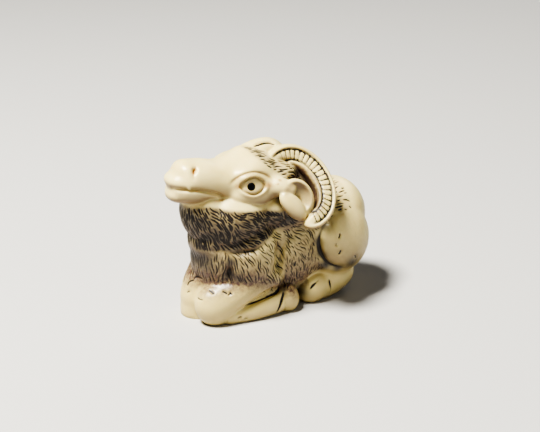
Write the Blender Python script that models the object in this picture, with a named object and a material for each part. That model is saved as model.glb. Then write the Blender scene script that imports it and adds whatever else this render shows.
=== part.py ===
# Reclining ram netsuke, cast in one piece of ivory-coloured resin.
# The figure is built up as a modeller would in clay: soft masses for the body, then the head,
# legs, horns and ears, blended together, carved, and cut flat below.
# It lies along X with its face towards -X and its left side towards -Y. +Z is up, metres.

import math

import bmesh
import bpy
import numpy as np
from mathutils import Euler, Matrix, Vector
from mathutils.bvhtree import BVHTree

# Driving dimension: the real length from the lips to the rump, in metres.
LENGTH = 0.0487

# The figure is drawn in units of a little over a fiftieth of its length, so that a unit is a
# millimetre at the length above, and it is brought to its real length at the end.

# Grain of the clay while it is worked, and the number of facets that are kept.
BODY_GRAIN = 0.42
FIGURE_GRAIN = 0.25
FACETS = 9750

# Blends: how many smoothing passes each stage gets.
BODY_BLEND = 9
RUFF_BLEND = 10
HEAD_BLEND = 14
FIGURE_BLEND = 3

# Horns: a spiral seen nearly as a circle from the side.
HORN_CENTRE = (2.9, 28.6)
FAR_HORN_CENTRE = (-0.7, 29.6)
HORN_RADIUS = 8.45
HORN_START_DEG = 132.0
HORN_END_DEG = -98.0
HORN_TOP_SPREAD = 3.4
HORN_TIP_SPREAD = 9.9
HORN_WIDTH = 5.1
HORN_THICKNESS = 4.6
HORN_START_WIDTH = 2.7
HORN_TIP_WIDTH = 3.0
HORN_RIM = 0.75
HORN_RIB_BAND_START = 0.95
HORN_RIB_BAND_END = 3.25
HORN_RIB_COUNT = 25
HORN_RIB_DEPTH = 0.38
HORN_RIM_HEIGHT = 0.36
HORN_GROOVE_DEPTH = 0.55
HORN_GROOVE_HALF_WIDTH = 0.24

# Ears: where each one leaves the head and where it ends, on the far side.
EAR_ROOT = (-0.5, 8.6, 31.4)
EAR_TIP = (2.8, 11.2, 22.7)
EAR_WIDTH = 7.9
EAR_THICKNESS = 1.6
EAR_RIM = 0.75
EAR_LOBE_WIDTH = 4.2

# Eyes.
EYE_PLACE = (-8.0, 31.0)
EYE_LENGTH = 3.25
EYE_HEIGHT = 2.25
EYE_TILT_DEG = -6.0
PUPIL_SHIFT = -0.45
PUPIL_RADIUS = 0.8

# Fur: pitch and depth of the locks carved in the solid.
LOCK_PITCH = 1.75
LOCK_DEPTH = 0.30

# The block that takes the underside off is wider than the whole figure.
CUTTER_SIZE = 100.0

NEAR = -1.0
FAR = 1.0


def clear_scene():
    for item in list(bpy.data.objects):
        bpy.data.objects.remove(item, do_unlink=True)


def link_mesh(name, mesh):
    item = bpy.data.objects.new(name, mesh)
    bpy.context.collection.objects.link(item)
    return item


def mesh_from_bmesh(name, bm):
    bmesh.ops.recalc_face_normals(bm, faces=bm.faces)
    mesh = bpy.data.meshes.new(name)
    bm.to_mesh(mesh)
    bm.free()
    return mesh


# One rounded lump of clay: an ellipsoid, turned about its centre.
def lump(name, centre, radii, turn_deg=(0.0, 0.0, 0.0)):
    turn = Euler([math.radians(a) for a in turn_deg]).to_matrix().to_4x4()
    place = Matrix.Translation(centre) @ turn @ Matrix.Diagonal((*radii, 1.0))
    bm = bmesh.new()
    bmesh.ops.create_icosphere(bm, subdivisions=4, radius=1.0)
    bm.transform(place)
    return link_mesh(name, mesh_from_bmesh(name, bm))


# A closed skin through rings of points, each ring with the same number of points.
def skin(name, rings):
    bm = bmesh.new()
    rows = [[bm.verts.new(p) for p in ring] for ring in rings]
    count = len(rows[0])
    for low, high in zip(rows, rows[1:]):
        for i in range(count):
            j = (i + 1) % count
            bm.faces.new((low[i], low[j], high[j], high[i]))
    bm.faces.new(rows[0])
    bm.faces.new(rows[-1])
    bmesh.ops.triangulate(bm, faces=bm.faces)
    return link_mesh(name, mesh_from_bmesh(name, bm))


def smooth_curve(values, t):
    """Catmull-Rom value at t (0 to 1) through evenly spaced rows of values."""
    rows = np.asarray(values, float)
    padded = np.vstack([2 * rows[0] - rows[1], rows, 2 * rows[-1] - rows[-2]])
    place = t * (len(rows) - 1)
    k = min(int(place), len(rows) - 2)
    f = place - k
    a, b, c, d = padded[k : k + 4]
    return 0.5 * (2 * b + (c - a) * f + (2 * a - 5 * b + 4 * c - d) * f**2 + (3 * b - a - 3 * c + d) * f**3)


# A tapered limb with rounded ends. Each station is (x, y, z, half width, half height).
def limb(name, stations, segments=18, around=24):
    samples = [smooth_curve(stations, i / segments) for i in range(segments + 1)]
    centres = np.array([s[:3] for s in samples])
    tangents = np.gradient(centres, axis=0)
    rings = []
    cap_angles = [math.radians(a) for a in (80, 60, 40, 20)]

    def ring(centre, tangent, half_width, half_height):
        along = tangent / np.linalg.norm(tangent)
        side = np.cross(along, (0.0, 0.0, 1.0))
        side /= np.linalg.norm(side)
        rise = np.cross(side, along)
        angles = [2 * math.pi * i / around for i in range(around)]
        return [centre + side * half_width * math.cos(a) + rise * half_height * math.sin(a) for a in angles]

    first, last = samples[0], samples[-1]
    start_unit = tangents[0] / np.linalg.norm(tangents[0])
    end_unit = tangents[-1] / np.linalg.norm(tangents[-1])
    for a in cap_angles:
        shift = -start_unit * first[3:5].mean() * math.sin(a)
        rings.append(ring(first[:3] + shift, tangents[0], first[3] * math.cos(a), first[4] * math.cos(a)))
    for sample, tangent in zip(samples, tangents):
        rings.append(ring(sample[:3], tangent, sample[3], sample[4]))
    for a in reversed(cap_angles):
        shift = end_unit * last[3:5].mean() * math.sin(a)
        rings.append(ring(last[:3] + shift, tangents[-1], last[3] * math.cos(a), last[4] * math.cos(a)))
    return skin(name, rings)


def evaluated_mesh(item):
    graph = bpy.context.evaluated_depsgraph_get()
    graph.update()
    return bpy.data.meshes.new_from_object(item.evaluated_get(graph), depsgraph=graph)


def replace_with(items, name, mesh):
    for item in items:
        bpy.data.objects.remove(item, do_unlink=True)
    return link_mesh(name, mesh)


# Press loose lumps into one skin of even grain, then smooth the joints by hand.
def knead(name, items, grain, blend):
    bm = bmesh.new()
    for item in items:
        bm.from_mesh(item.data)
    joined = replace_with(items, name, mesh_from_bmesh(name, bm))
    remesh = joined.modifiers.new("one skin", "REMESH")
    remesh.mode = "VOXEL"
    remesh.voxel_size = grain
    remesh.adaptivity = 0.0
    if blend:
        smooth = joined.modifiers.new("blend", "SMOOTH")
        smooth.factor = 0.5
        smooth.iterations = blend
    return replace_with([joined], name, evaluated_mesh(joined))


# Body: trunk, rump, chest, neck, ruff, shoulders, thighs and folded legs.
# Paired forms are listed by their distance from the middle plane.
def body_lumps():
    parts = [
        lump("trunk", (3.0, 0.0, 12.6), (16.0, 8.2, 11.8)),
        lump("rump", (12.8, 0.0, 14.4), (10.4, 9.0, 11.9)),
        lump("rump top", (16.5, 0.0, 18.3), (7.3, 8.4, 8.0)),
        lump("chest", (-9.8, 0.0, 14.6), (8.2, 8.7, 9.6)),
        lump("brisket", (-13.2, 0.0, 13.4), (5.8, 6.8, 8.6)),
        lump("throat base", (-13.4, 0.0, 18.0), (6.4, 6.4, 6.4)),
        lump("nape", (2.4, 0.0, 22.8), (9.6, 7.8, 8.6)),
        lump("tail", (21.8, 0.4, 12.6), (1.7, 2.4, 4.4), (0, 8, 0)),
        lump("belly", (1.5, 0.0, 5.2), (17.0, 6.0, 6.8)),
    ]
    for side, name in ((NEAR, "near"), (FAR, "far")):
        parts += [
            lump(f"{name} horn bed", (4.6, side * 4.0, 26.4), (5.6, 2.4, 6.6), (side * 20, 0, 0)),
            lump(f"{name} thigh", (14.2, side * 5.9, 14.2), (7.9, 5.4, 8.8), (0, -16, 0)),
            lump(f"{name} shoulder", (-7.8, side * 5.0, 13.6), (6.6, 4.9, 9.2), (0, 8, 0)),
            limb(
                f"{name} hind shank",
                [
                    (16.2, side * 3.1, 4.5, 3.9, 4.2),
                    (13.6, side * 4.4, 3.9, 3.6, 4.1),
                    (11.0, side * 5.2, 3.2, 3.0, 3.8),
                ],
            ),
        ]
    parts += [
        limb(
            "near forearm",
            [
                (-2.8, -6.0, 9.0, 3.2, 3.2),
                (-7.5, -5.8, 8.2, 3.7, 3.6),
                (-12.0, -5.2, 6.2, 4.0, 4.0),
                (-16.3, -4.5, 3.9, 4.1, 4.9),
            ],
        ),
        limb(
            "far forearm",
            [
                (-10.4, 3.8, 12.6, 4.4, 4.2),
                (-14.5, 2.9, 9.2, 4.1, 4.0),
                (-17.2, 1.9, 4.6, 3.9, 4.0),
                (-17.2, 1.6, -1.0, 4.0, 4.0),
            ],
        ),
    ]
    return parts


def ruff_lumps():
    return [
        lump("ruff throat", (-15.6, 0.0, 23.4), (5.6, 6.2, 7.6), (0, -24, 0)),
        lump("ruff cheek", (-9.6, 0.0, 23.2), (9.4, 9.2, 6.8), (0, 4, 0)),
        lump("ruff low", (-11.5, 0.0, 20.4), (7.4, 8.2, 4.6)),
        lump("ruff nape", (-1.8, 0.0, 24.0), (7.8, 8.4, 6.0)),
    ]


def foot_lumps():
    parts = []
    for side, name, hoof_x in ((NEAR, "near", 0.4), (FAR, "far", -0.6)):
        parts += [
            limb(
                f"{name} cannon",
                [
                    (-13.5, side * 5.8, 1.6, 2.6, 2.4),
                    (-8.0, side * 6.8, 2.2, 2.7, 2.8),
                    (-2.6, side * 7.0, 3.0, 2.7, 3.3),
                ],
            ),
            lump(f"{name} fore hoof", (hoof_x, side * 6.9, 2.9), (2.9, 2.8, 3.5), (0, -16, 0)),
            lump(f"{name} hind hoof", (8.2, side * 5.4, 3.2), (4.2, 3.2, 3.8), (0, -18, 0)),
        ]
    return parts


# Head: rounded-box sections through the muzzle and skull.
# Each row is (x, middle height, half height, half width).
HEAD_SECTIONS = [
    (-24.1, 31.3, 2.2, 2.7),
    (-22.6, 31.6, 3.6, 4.0),
    (-20.3, 32.0, 4.7, 4.8),
    (-16.5, 31.6, 4.8, 5.0),
    (-13.0, 31.0, 4.5, 5.4),
    (-9.0, 30.9, 5.1, 6.5),
    (-5.0, 31.2, 6.0, 7.2),
    (-0.5, 30.0, 5.3, 6.6),
    (3.0, 28.8, 5.0, 5.0),
]
HEAD_SQUARENESS = 2.35


def head_lumps():
    rows = [smooth_curve(HEAD_SECTIONS, i / 40) for i in range(41)]
    rings = []
    for x, middle, half_height, half_width in rows:
        ring = []
        for i in range(32):
            a = 2 * math.pi * i / 32
            c, s = math.cos(a), math.sin(a)
            reach = (abs(c) ** HEAD_SQUARENESS + abs(s) ** HEAD_SQUARENESS) ** (-1 / HEAD_SQUARENESS)
            ring.append((x, c * reach * half_width, middle + s * reach * half_height))
        rings.append(ring)
    parts = [
        skin("skull", rings),
        lump("nose", (-20.4, 0.0, 34.2), (3.1, 4.0, 2.8), (0, 24, 0)),
        lump("upper lip", (-22.7, 0.0, 32.9), (2.5, 3.7, 1.8)),
        lump("lower lip", (-22.4, 0.0, 29.8), (2.7, 3.6, 1.9)),
        lump("crown", (-4.8, 0.0, 32.7), (6.0, 5.2, 4.3)),
        lump("poll", (3.4, 0.0, 29.0), (6.2, 4.9, 5.3)),
    ]
    for side, name in ((NEAR, "near"), (FAR, "far")):
        parts += [
            lump(f"{name} brow", (-7.6, side * 4.5, 33.0), (4.6, 2.6, 2.3), (0, -8, 0)),
            lump(f"{name} cheek", (-6.5, side * 4.6, 28.6), (6.2, 3.4, 3.6)),
            lump(f"{name} mouth side", (-19.0, side * 2.6, 30.2), (4.6, 2.2, 2.4)),
            limb(
                f"{name} ear stem",
                [
                    (-3.4, side * 5.0, 29.8, 2.8, 2.9),
                    (-1.8, side * 7.4, 29.8, 2.3, 2.4),
                    (0.0, side * 9.0, 29.4, 1.7, 1.6),
                ],
            ),
        ]
    return parts


# Horn: sections swept round the spiral. Across its face, from the outer edge inwards, lie a
# rounded rim, a groove, a band of ribs, a second groove and a plain inner band.
def horn_relief(from_edge, rib_wave):
    def hill(centre, half_width):
        return math.exp(-(((from_edge - centre) / half_width) ** 2))

    band_middle = (HORN_RIB_BAND_START + HORN_RIB_BAND_END) / 2
    band_half = (HORN_RIB_BAND_END - HORN_RIB_BAND_START) / 2
    outer_groove = hill((HORN_RIM + HORN_RIB_BAND_START) / 2, HORN_GROOVE_HALF_WIDTH)
    inner_groove = hill(HORN_RIB_BAND_END + HORN_GROOVE_HALF_WIDTH / 2, HORN_GROOVE_HALF_WIDTH)
    ribs = math.exp(-(((from_edge - band_middle) / band_half) ** 6))
    inner_middle = (HORN_RIB_BAND_END + HORN_WIDTH) / 2
    raised = HORN_RIM_HEIGHT * (hill(HORN_RIM / 2, HORN_RIM / 2) + hill(inner_middle, HORN_RIM))
    return raised - HORN_GROOVE_DEPTH * (outer_groove + inner_groove) - HORN_RIB_DEPTH * ribs * rib_wave


# The horn opens from its base over the first third of its length and narrows to the tip.
def horn_width(t):
    opening = min(1.0, t * 3.0)
    opening = opening * opening * (3.0 - 2.0 * opening)
    full = HORN_START_WIDTH + (HORN_WIDTH - HORN_START_WIDTH) * opening
    return full - (HORN_WIDTH - HORN_TIP_WIDTH) * t**3.2


def horn(name, side, centre):
    rings = []
    steps = 176
    around = 56
    face = Vector((-0.12, side * 0.92, 0.36)).normalized()
    for i in range(steps + 1):
        t = i / steps
        angle = math.radians(HORN_START_DEG + (HORN_END_DEG - HORN_START_DEG) * t)
        blunt = math.sqrt(max(0.0, 1.0 - ((t - 0.9) / 0.1) ** 2)) if t > 0.9 else 1.0
        blunt *= math.sqrt(min(1.0, 0.25 + 20.0 * t))
        full_width = horn_width(t)
        width = max(0.3, full_width * blunt)
        thickness = max(0.3, HORN_THICKNESS * (1.0 - 0.35 * t**2) * blunt)
        drop = (1.0 - math.sin(angle)) / 2.0
        spread = HORN_TOP_SPREAD + (HORN_TIP_SPREAD - HORN_TOP_SPREAD) * drop
        outward = Vector((math.cos(angle), 0.0, math.sin(angle)))
        outward = (outward - face * outward.dot(face)).normalized()
        middle = Vector((centre[0], side * spread, centre[1]))
        middle += outward * (HORN_RADIUS - full_width / 2)
        rib_wave = (0.5 + 0.5 * math.cos(2 * math.pi * HORN_RIB_COUNT * t)) ** 2
        rib_wave *= min(1.0, max(0.0, (t - 0.05) * 6.0)) if t < 0.92 else 0.0
        ring = []
        for k in range(around):
            a = 2 * math.pi * k / around
            u, v = math.cos(a), math.sin(a)
            reach = (abs(u) ** 3.0 + abs(v) ** 3.0) ** (-1 / 3.0)
            u, v = u * reach, v * reach
            from_edge = (full_width - u * width) / 2
            relief = horn_relief(from_edge, rib_wave) * min(1.0, v * 1.6) * blunt if v > 0.0 else 0.0
            ring.append(middle + outward * (u * width / 2) + face * (v * thickness / 2 + relief))
        rings.append(ring)
    return skin(name, rings)


# Ear: a thick leaf hanging down and back, hollowed, with a rounded lobe inside.
# Its own axes are across the leaf, out of its face, and up towards the stem.
def ear(name, side):
    down = Vector((EAR_TIP[0] - EAR_ROOT[0], side * (EAR_TIP[1] - EAR_ROOT[1]), EAR_TIP[2] - EAR_ROOT[2]))
    middle = Vector((EAR_ROOT[0], side * EAR_ROOT[1], EAR_ROOT[2])) + down * 0.5
    up = -down.normalized()
    face = Vector((-0.22, side * 0.93, 0.24))
    face = (face - up * face.dot(up)).normalized()
    across = face.cross(up)
    axes = Matrix((across, face, up)).transposed()
    half = down.length / 2

    def leaf_lump(part, shift, radii, lean_deg=0.0):
        centre = middle + axes @ Vector((side * shift[0], shift[1], shift[2]))
        lean = Matrix.Rotation(math.radians(side * lean_deg), 4, "Y")
        place = Matrix.Translation(centre) @ axes.to_4x4() @ lean @ Matrix.Diagonal((*radii, 1.0))
        bm = bmesh.new()
        bmesh.ops.create_icosphere(bm, subdivisions=4, radius=1.0)
        bm.transform(place)
        return link_mesh(f"{name} {part}", mesh_from_bmesh(f"{name} {part}", bm))

    leaf = leaf_lump("leaf", (0.0, 0.0, 0.0), (EAR_WIDTH / 2, EAR_THICKNESS, half))
    hollow_radii = (EAR_WIDTH / 2 - EAR_RIM, EAR_THICKNESS + 0.4, half - EAR_RIM - 0.25)
    hollow = leaf_lump("hollow", (0.6, EAR_THICKNESS + 0.1, 0.6), hollow_radii)
    cut = leaf.modifiers.new("hollow", "BOOLEAN")
    cut.operation = "DIFFERENCE"
    cut.object = hollow
    shell = replace_with([leaf, hollow], f"{name} shell", evaluated_mesh(leaf))
    lobe_middle = ((EAR_LOBE_WIDTH - EAR_WIDTH) / 2 + 0.1, 0.5, -0.7)
    lobe = leaf_lump("lobe", lobe_middle, (EAR_LOBE_WIDTH / 2, EAR_THICKNESS - 0.1, half - 0.5), 8.0)
    return [shell, lobe]


# The worked surface as arrays, with the tools that carve it.
class Surface:
    def __init__(self, item):
        self.mesh = item.data
        self.read()

    def read(self):
        count = len(self.mesh.vertices)
        flat = np.empty(count * 3)
        self.mesh.vertices.foreach_get("co", flat)
        self.points = flat.reshape(-1, 3).copy()
        self.mesh.vertices.foreach_get("normal", flat)
        self.normals = flat.reshape(-1, 3).copy()
        self.tree = BVHTree.FromPolygons(
            [tuple(p) for p in self.points], [tuple(f.vertices) for f in self.mesh.polygons]
        )

    def write(self):
        self.mesh.vertices.foreach_set("co", self.points.ravel())
        self.mesh.update()

    # Push points in or out along the skin by an amount in drawing units.
    def push(self, amount):
        self.points += self.normals * amount[:, None]

    # The place on one side of the figure that a side drawing's (x, z) lands on.
    def on_side(self, x, z, side):
        hit, normal, _, _ = self.tree.ray_cast(Vector((x, side * 40.0, z)), Vector((0.0, -side, 0.0)))
        if hit is None:
            hit, normal, _, _ = self.tree.find_nearest(Vector((x, side * 12.0, z)))
        return np.array(hit), np.array(normal)

    def path_on_side(self, corners, side, steps=24):
        return np.array([self.on_side(*smooth_curve(corners, i / steps), side)[0] for i in range(steps + 1)])

    # Distance from every point to a path, and how far along the path it is, 0 to 1.
    def to_path(self, path):
        best = np.full(len(self.points), 1e9)
        along = np.zeros(len(self.points))
        count = len(path) - 1
        for i in range(count):
            start = path[i]
            step = path[i + 1] - start
            size = max(step @ step, 1e-12)
            f = np.clip(((self.points - start) @ step) / size, 0.0, 1.0)
            gap = np.linalg.norm(self.points - start - f[:, None] * step, axis=1)
            nearer = gap < best
            best[nearer] = gap[nearer]
            along[nearer] = (i + f[nearer]) / count
        return best, along

    # A groove fades at its ends. It may also be deepest at one place along it.
    def groove(self, path, half_width, depth, taper=0.2, deepest=None):
        gap, along = self.to_path(path)
        strength = np.clip(np.minimum(along, 1.0 - along) / taper, 0.0, 1.0) ** 0.7
        if deepest is not None:
            strength *= 0.3 + 0.7 * np.exp(-(((along - deepest) / 0.2) ** 2))
        self.push(-depth * strength * np.exp(-((gap / half_width) ** 2)))


# Eye: raised almond lids round a slightly domed eyeball, with a crease over the upper lid.
def carve_eye(surface, side):
    centre, _ = surface.on_side(*EYE_PLACE, side)
    tilt = math.radians(EYE_TILT_DEG)
    offset = surface.points - centre
    close = np.linalg.norm(offset, axis=1) < 6.0
    outward = surface.normals[close & (np.linalg.norm(offset, axis=1) < 2.5)].mean(axis=0)
    outward /= np.linalg.norm(outward)
    along = np.array((math.cos(tilt), 0.0, math.sin(tilt)))
    along -= outward * (along @ outward)
    along /= np.linalg.norm(along)
    above = np.cross(outward, along) * (1.0 if side > 0 else -1.0)
    above *= 1.0 if above[2] > 0 else -1.0
    a = (offset @ along) / EYE_LENGTH
    b = (offset @ above) / EYE_HEIGHT
    reach = np.sqrt(np.abs(a) ** 1.65 + b**2)
    lids = 0.32 * np.exp(-(((reach - 1.0) / 0.14) ** 2))
    socket = -0.34 * np.exp(-(((reach - 0.81) / 0.11) ** 2))
    ball = 0.2 * np.clip(1.0 - (reach / 0.8) ** 2, 0.0, 1.0)
    crease = -0.26 * np.exp(-(((reach - 1.36) / 0.12) ** 2)) * np.clip(b * 1.5, 0.0, 1.0)
    gap = np.hypot(offset @ along - PUPIL_SHIFT, offset @ above)
    pupil = -0.2 * np.exp(-((gap / PUPIL_RADIUS) ** 4))
    amount = np.where(close, lids + socket + ball + crease + pupil, 0.0)
    surface.points += np.outer(amount, outward)


# Carved lines, each drawn on the side view as (x, z) from its start to its end.
MOUTH = [(-24.8, 31.9), (-22.2, 31.8), (-19.4, 31.3), (-16.6, 30.2), (-14.9, 29.3), (-14.0, 28.2)]
NOSTRIL = [(-19.3, 36.1), (-19.9, 35.6), (-20.5, 34.9), (-20.8, 33.9)]
HAUNCH_CREASE = [
    (14.0, 22.6),
    (11.4, 21.0),
    (9.2, 19.4),
    (7.8, 17.2),
    (7.4, 14.6),
    (8.0, 11.8),
    (10.0, 9.2),
    (13.4, 8.0),
    (18.0, 6.8),
]
SHOULDER_CREASE = [(1.2, 18.8), (-0.4, 16.6), (-1.6, 14.6), (-1.6, 11.5), (-0.6, 8.8), (0.6, 6.8)]
CHEST_HOLLOW = [(-14.2, 17.0), (-14.1, 14.6), (-14.1, 12.4), (-14.0, 10.0)]
UNDER_RUFF = [
    (-19.0, 16.4),
    (-16.4, 17.3),
    (-13.4, 16.9),
    (-10.8, 16.9),
    (-8.6, 17.2),
    (-6.0, 18.2),
    (-3.4, 19.4),
]
FOREARM_CREASE = [(-11.8, 3.8), (-8.6, 4.4), (-6.2, 4.9), (-3.7, 5.5), (-1.4, 6.2)]
FORE_HOOF_CREASE = [(-1.6, 5.0), (-2.4, 3.6), (-3.0, 1.9), (-3.3, 0.3)]
HIND_HOOF_CREASE = [(11.0, 5.6), (11.4, 4.0), (11.5, 2.2), (11.2, 0.6)]
HIND_CLEFT = [(5.6, 3.6), (7.0, 4.9), (8.8, 5.9)]


def carve_face(surface):
    for side in (NEAR, FAR):
        surface.groove(surface.path_on_side(MOUTH, side), 0.42, 0.7, taper=0.16)
        surface.groove(surface.path_on_side(NOSTRIL, side), 0.5, 0.8, taper=0.3, deepest=0.3)
        carve_eye(surface, side)


# Each crease is cut to its half width and depth, and is deepest at a share of its length.
def carve_creases(surface):
    for side in (NEAR, FAR):
        for line, half_width, depth, deepest in (
            (HAUNCH_CREASE, 0.95, 1.25, 0.62),
            (SHOULDER_CREASE, 1.5, 1.5, 0.45),
            (CHEST_HOLLOW, 1.0, 1.0, 0.7),
            (UNDER_RUFF, 0.7, 0.95, 0.55),
            (FOREARM_CREASE, 0.5, 0.7, 0.85),
            (FORE_HOOF_CREASE, 0.45, 0.6, 0.4),
            (HIND_HOOF_CREASE, 0.45, 0.45, 0.3),
            (HIND_CLEFT, 0.45, 0.45, 0.4),
        ):
            surface.groove(surface.path_on_side(line, side), half_width, depth, deepest=deepest)


# Fur: locks side by side, broken along their length. They are laid out on a wrapping round the
# body, with s the way round it from the front and z the height.
# Each area: wrap centre x, wrap radius, middle (x, z), reach (x, z), slant, lock length, depth.
FUR_AREAS = {
    "ruff": (-9.0, 9.0, (-10.5, 22.0), (13.5, 5.2), -38.0, 4.6, 1.0),
    "chest": (-9.0, 8.6, (-13.5, 13.6), (7.6, 4.6), -80.0, 4.0, 0.8),
    "shoulder": (-9.0, 8.6, (-5.6, 14.0), (4.4, 4.6), -58.0, 3.6, 0.7),
    "flank": (2.0, 9.0, (3.4, 13.6), (4.4, 6.4), -62.0, 3.4, 0.7),
    "withers": (4.0, 8.0, (9.0, 23.0), (6.0, 3.6), -20.0, 3.4, 0.6),
}


def carve_fur(surface):
    x, y, z = surface.points.T
    amount = np.zeros(len(surface.points))
    for wrap_x, wrap_radius, middle, reach, slant_deg, lock_length, share in FUR_AREAS.values():
        s = wrap_radius * np.arctan2(np.abs(y), wrap_x - x)
        slant = math.radians(slant_deg)
        along = s * math.cos(slant) + z * math.sin(slant)
        across = (-s * math.sin(slant) + z * math.cos(slant)) / LOCK_PITCH
        across += 0.22 * np.sin(2 * math.pi * along / (1.7 * lock_length))
        row = np.round(across)
        gap = np.abs(across - row)
        run = along / lock_length + 0.5 * (row % 2)
        broken = np.abs(np.sin(math.pi * run)) ** 0.6
        window = 1.0 - ((x - middle[0]) / reach[0]) ** 2 - ((z - middle[1]) / reach[1]) ** 2
        window = np.clip(window * 3.0, 0.0, 1.0)
        amount += share * window * broken * np.exp(-((gap / 0.2) ** 2))
    surface.push(-LOCK_DEPTH * np.minimum(amount, 1.0))


# A block below the figure takes its underside off flat.
def cut_underside(item):
    bm = bmesh.new()
    bmesh.ops.create_cube(bm, size=CUTTER_SIZE)
    bm.transform(Matrix.Translation((0.0, 0.0, -CUTTER_SIZE / 2)))
    block = link_mesh("underside cutter", mesh_from_bmesh("underside cutter", bm))
    cut = item.modifiers.new("flat underside", "BOOLEAN")
    cut.operation = "DIFFERENCE"
    cut.object = block
    return replace_with([item, block], item.name, evaluated_mesh(item))


def thin_out(item, facets):
    item.data.calc_loop_triangles()
    now = len(item.data.loop_triangles)
    thin = item.modifiers.new("thin out", "DECIMATE")
    thin.ratio = min(1.0, facets / now)
    return replace_with([item], item.name, evaluated_mesh(item))


# Bring the drawing to its real size, over the middle of its own footprint.
def set_in_place(item):
    corners = np.array([v.co[:] for v in item.data.vertices])
    low, high = corners.min(axis=0), corners.max(axis=0)
    scale = LENGTH / (high[0] - low[0])
    middle = (low + high) / 2
    shift = Matrix.Translation((-middle[0], -middle[1], 0.0))
    item.data.transform(Matrix.Diagonal((scale, scale, scale, 1.0)) @ shift)


def resin_material():
    resin = bpy.data.materials.new("ivory-coloured cast resin")
    resin.use_nodes = True
    shader = resin.node_tree.nodes["Principled BSDF"]
    shader.inputs["Base Color"].default_value = (0.78, 0.70, 0.50, 1.0)
    shader.inputs["Roughness"].default_value = 0.38
    shader.inputs["Metallic"].default_value = 0.0
    return resin


def build():
    clear_scene()
    body = knead("body", body_lumps(), BODY_GRAIN, BODY_BLEND)
    ruff = knead("ruff", ruff_lumps(), BODY_GRAIN, RUFF_BLEND)
    head = knead("head", head_lumps(), BODY_GRAIN, HEAD_BLEND)
    pieces = [body, ruff, head] + foot_lumps()
    pieces.append(horn("near horn", NEAR, HORN_CENTRE))
    pieces.append(horn("far horn", FAR, FAR_HORN_CENTRE))
    for side, name in ((NEAR, "near"), (FAR, "far")):
        pieces += ear(f"{name} ear", side)
    figure = knead("ram", pieces, FIGURE_GRAIN, FIGURE_BLEND)
    surface = Surface(figure)
    carve_creases(surface)
    carve_fur(surface)
    carve_face(surface)
    surface.write()
    ram = cut_underside(thin_out(figure, FACETS))
    set_in_place(ram)
    ram.data.materials.append(resin_material())
    return ram


build()
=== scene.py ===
# %% [markdown]
# # A reclining ram netsuke in ivory-coloured cast resin
#
# The real object is a small solid casting, about as long as a thumb. The maker carved a master,
# cast it in pale resin, wiped a dark brown stain over it and polished the high places clean, so
# the stain stays in every cut. This file makes it in the same order: soft masses, horns and ears,
# carving, hair strokes, stain, and last the resin itself.

# %% Load the frame
import math

import bmesh
import bpy
import numpy as np
from mathutils import Euler, Matrix, Vector, noise
from mathutils.bvhtree import BVHTree
from mathutils.kdtree import KDTree


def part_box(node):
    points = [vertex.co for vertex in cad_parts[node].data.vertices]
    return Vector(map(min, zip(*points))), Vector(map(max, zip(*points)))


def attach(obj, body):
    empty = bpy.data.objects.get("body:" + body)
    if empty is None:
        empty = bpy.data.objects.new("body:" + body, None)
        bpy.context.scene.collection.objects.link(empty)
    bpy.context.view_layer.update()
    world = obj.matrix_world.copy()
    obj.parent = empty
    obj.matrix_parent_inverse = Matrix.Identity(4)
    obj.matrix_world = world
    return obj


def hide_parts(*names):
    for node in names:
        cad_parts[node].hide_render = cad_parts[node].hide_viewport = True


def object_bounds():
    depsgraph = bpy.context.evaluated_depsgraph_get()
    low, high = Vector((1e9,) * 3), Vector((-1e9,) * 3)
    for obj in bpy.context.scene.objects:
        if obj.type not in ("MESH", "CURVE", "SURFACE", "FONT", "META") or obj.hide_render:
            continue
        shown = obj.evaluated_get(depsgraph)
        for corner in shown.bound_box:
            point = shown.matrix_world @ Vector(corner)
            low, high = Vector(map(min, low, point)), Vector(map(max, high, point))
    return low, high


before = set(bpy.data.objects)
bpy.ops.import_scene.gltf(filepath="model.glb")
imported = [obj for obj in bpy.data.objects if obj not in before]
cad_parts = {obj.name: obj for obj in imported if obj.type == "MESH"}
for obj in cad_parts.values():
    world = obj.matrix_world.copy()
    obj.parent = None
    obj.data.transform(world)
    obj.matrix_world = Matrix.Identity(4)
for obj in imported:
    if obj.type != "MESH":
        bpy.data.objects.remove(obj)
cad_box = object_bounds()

solid_ends = [[round(v, 4) for v in corner] for corner in cad_box]
print("the solid runs from", solid_ends[0], "to", solid_ends[1])

# %% [markdown]
# The figure is drawn in millimetres, lying along X with its face towards -X and its left side
# towards -Y, as the solid was. It is only brought to metres, and to the solid's own box, at the
# end. The near side of the figure is the one that the camera sees.

# %% Sides of the figure
NEAR = -1.0
FAR = 1.0
SIDES = ((NEAR, "near"), (FAR, "far"))


# %% [markdown]
# Clay first. A carver's animal has no hard joints, so each part of the body is a rounded lump,
# and the lumps are pressed into one skin. Sculpting with thousands of points would also do it,
# but a lump has a name, a place and three radii, which can be read and changed. A voxel remesh
# presses them together, and a few smoothing passes are the thumb that blends the joints.


# %% Lumps and skins
def link_mesh(name, mesh):
    item = bpy.data.objects.new(name, mesh)
    bpy.context.collection.objects.link(item)
    return item


def mesh_from_bmesh(name, bm):
    bmesh.ops.recalc_face_normals(bm, faces=bm.faces)
    mesh = bpy.data.meshes.new(name)
    bm.to_mesh(mesh)
    bm.free()
    return mesh


def placed_lump(name, place, radii):
    bm = bmesh.new()
    bmesh.ops.create_icosphere(bm, subdivisions=5, radius=1.0)
    bm.transform(place @ Matrix.Diagonal((*radii, 1.0)))
    return link_mesh(name, mesh_from_bmesh(name, bm))


def lump(name, centre, radii, turn_deg=(0.0, 0.0, 0.0)):
    turn = Euler([math.radians(a) for a in turn_deg]).to_matrix().to_4x4()
    return placed_lump(name, Matrix.Translation(centre) @ turn, radii)


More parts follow.
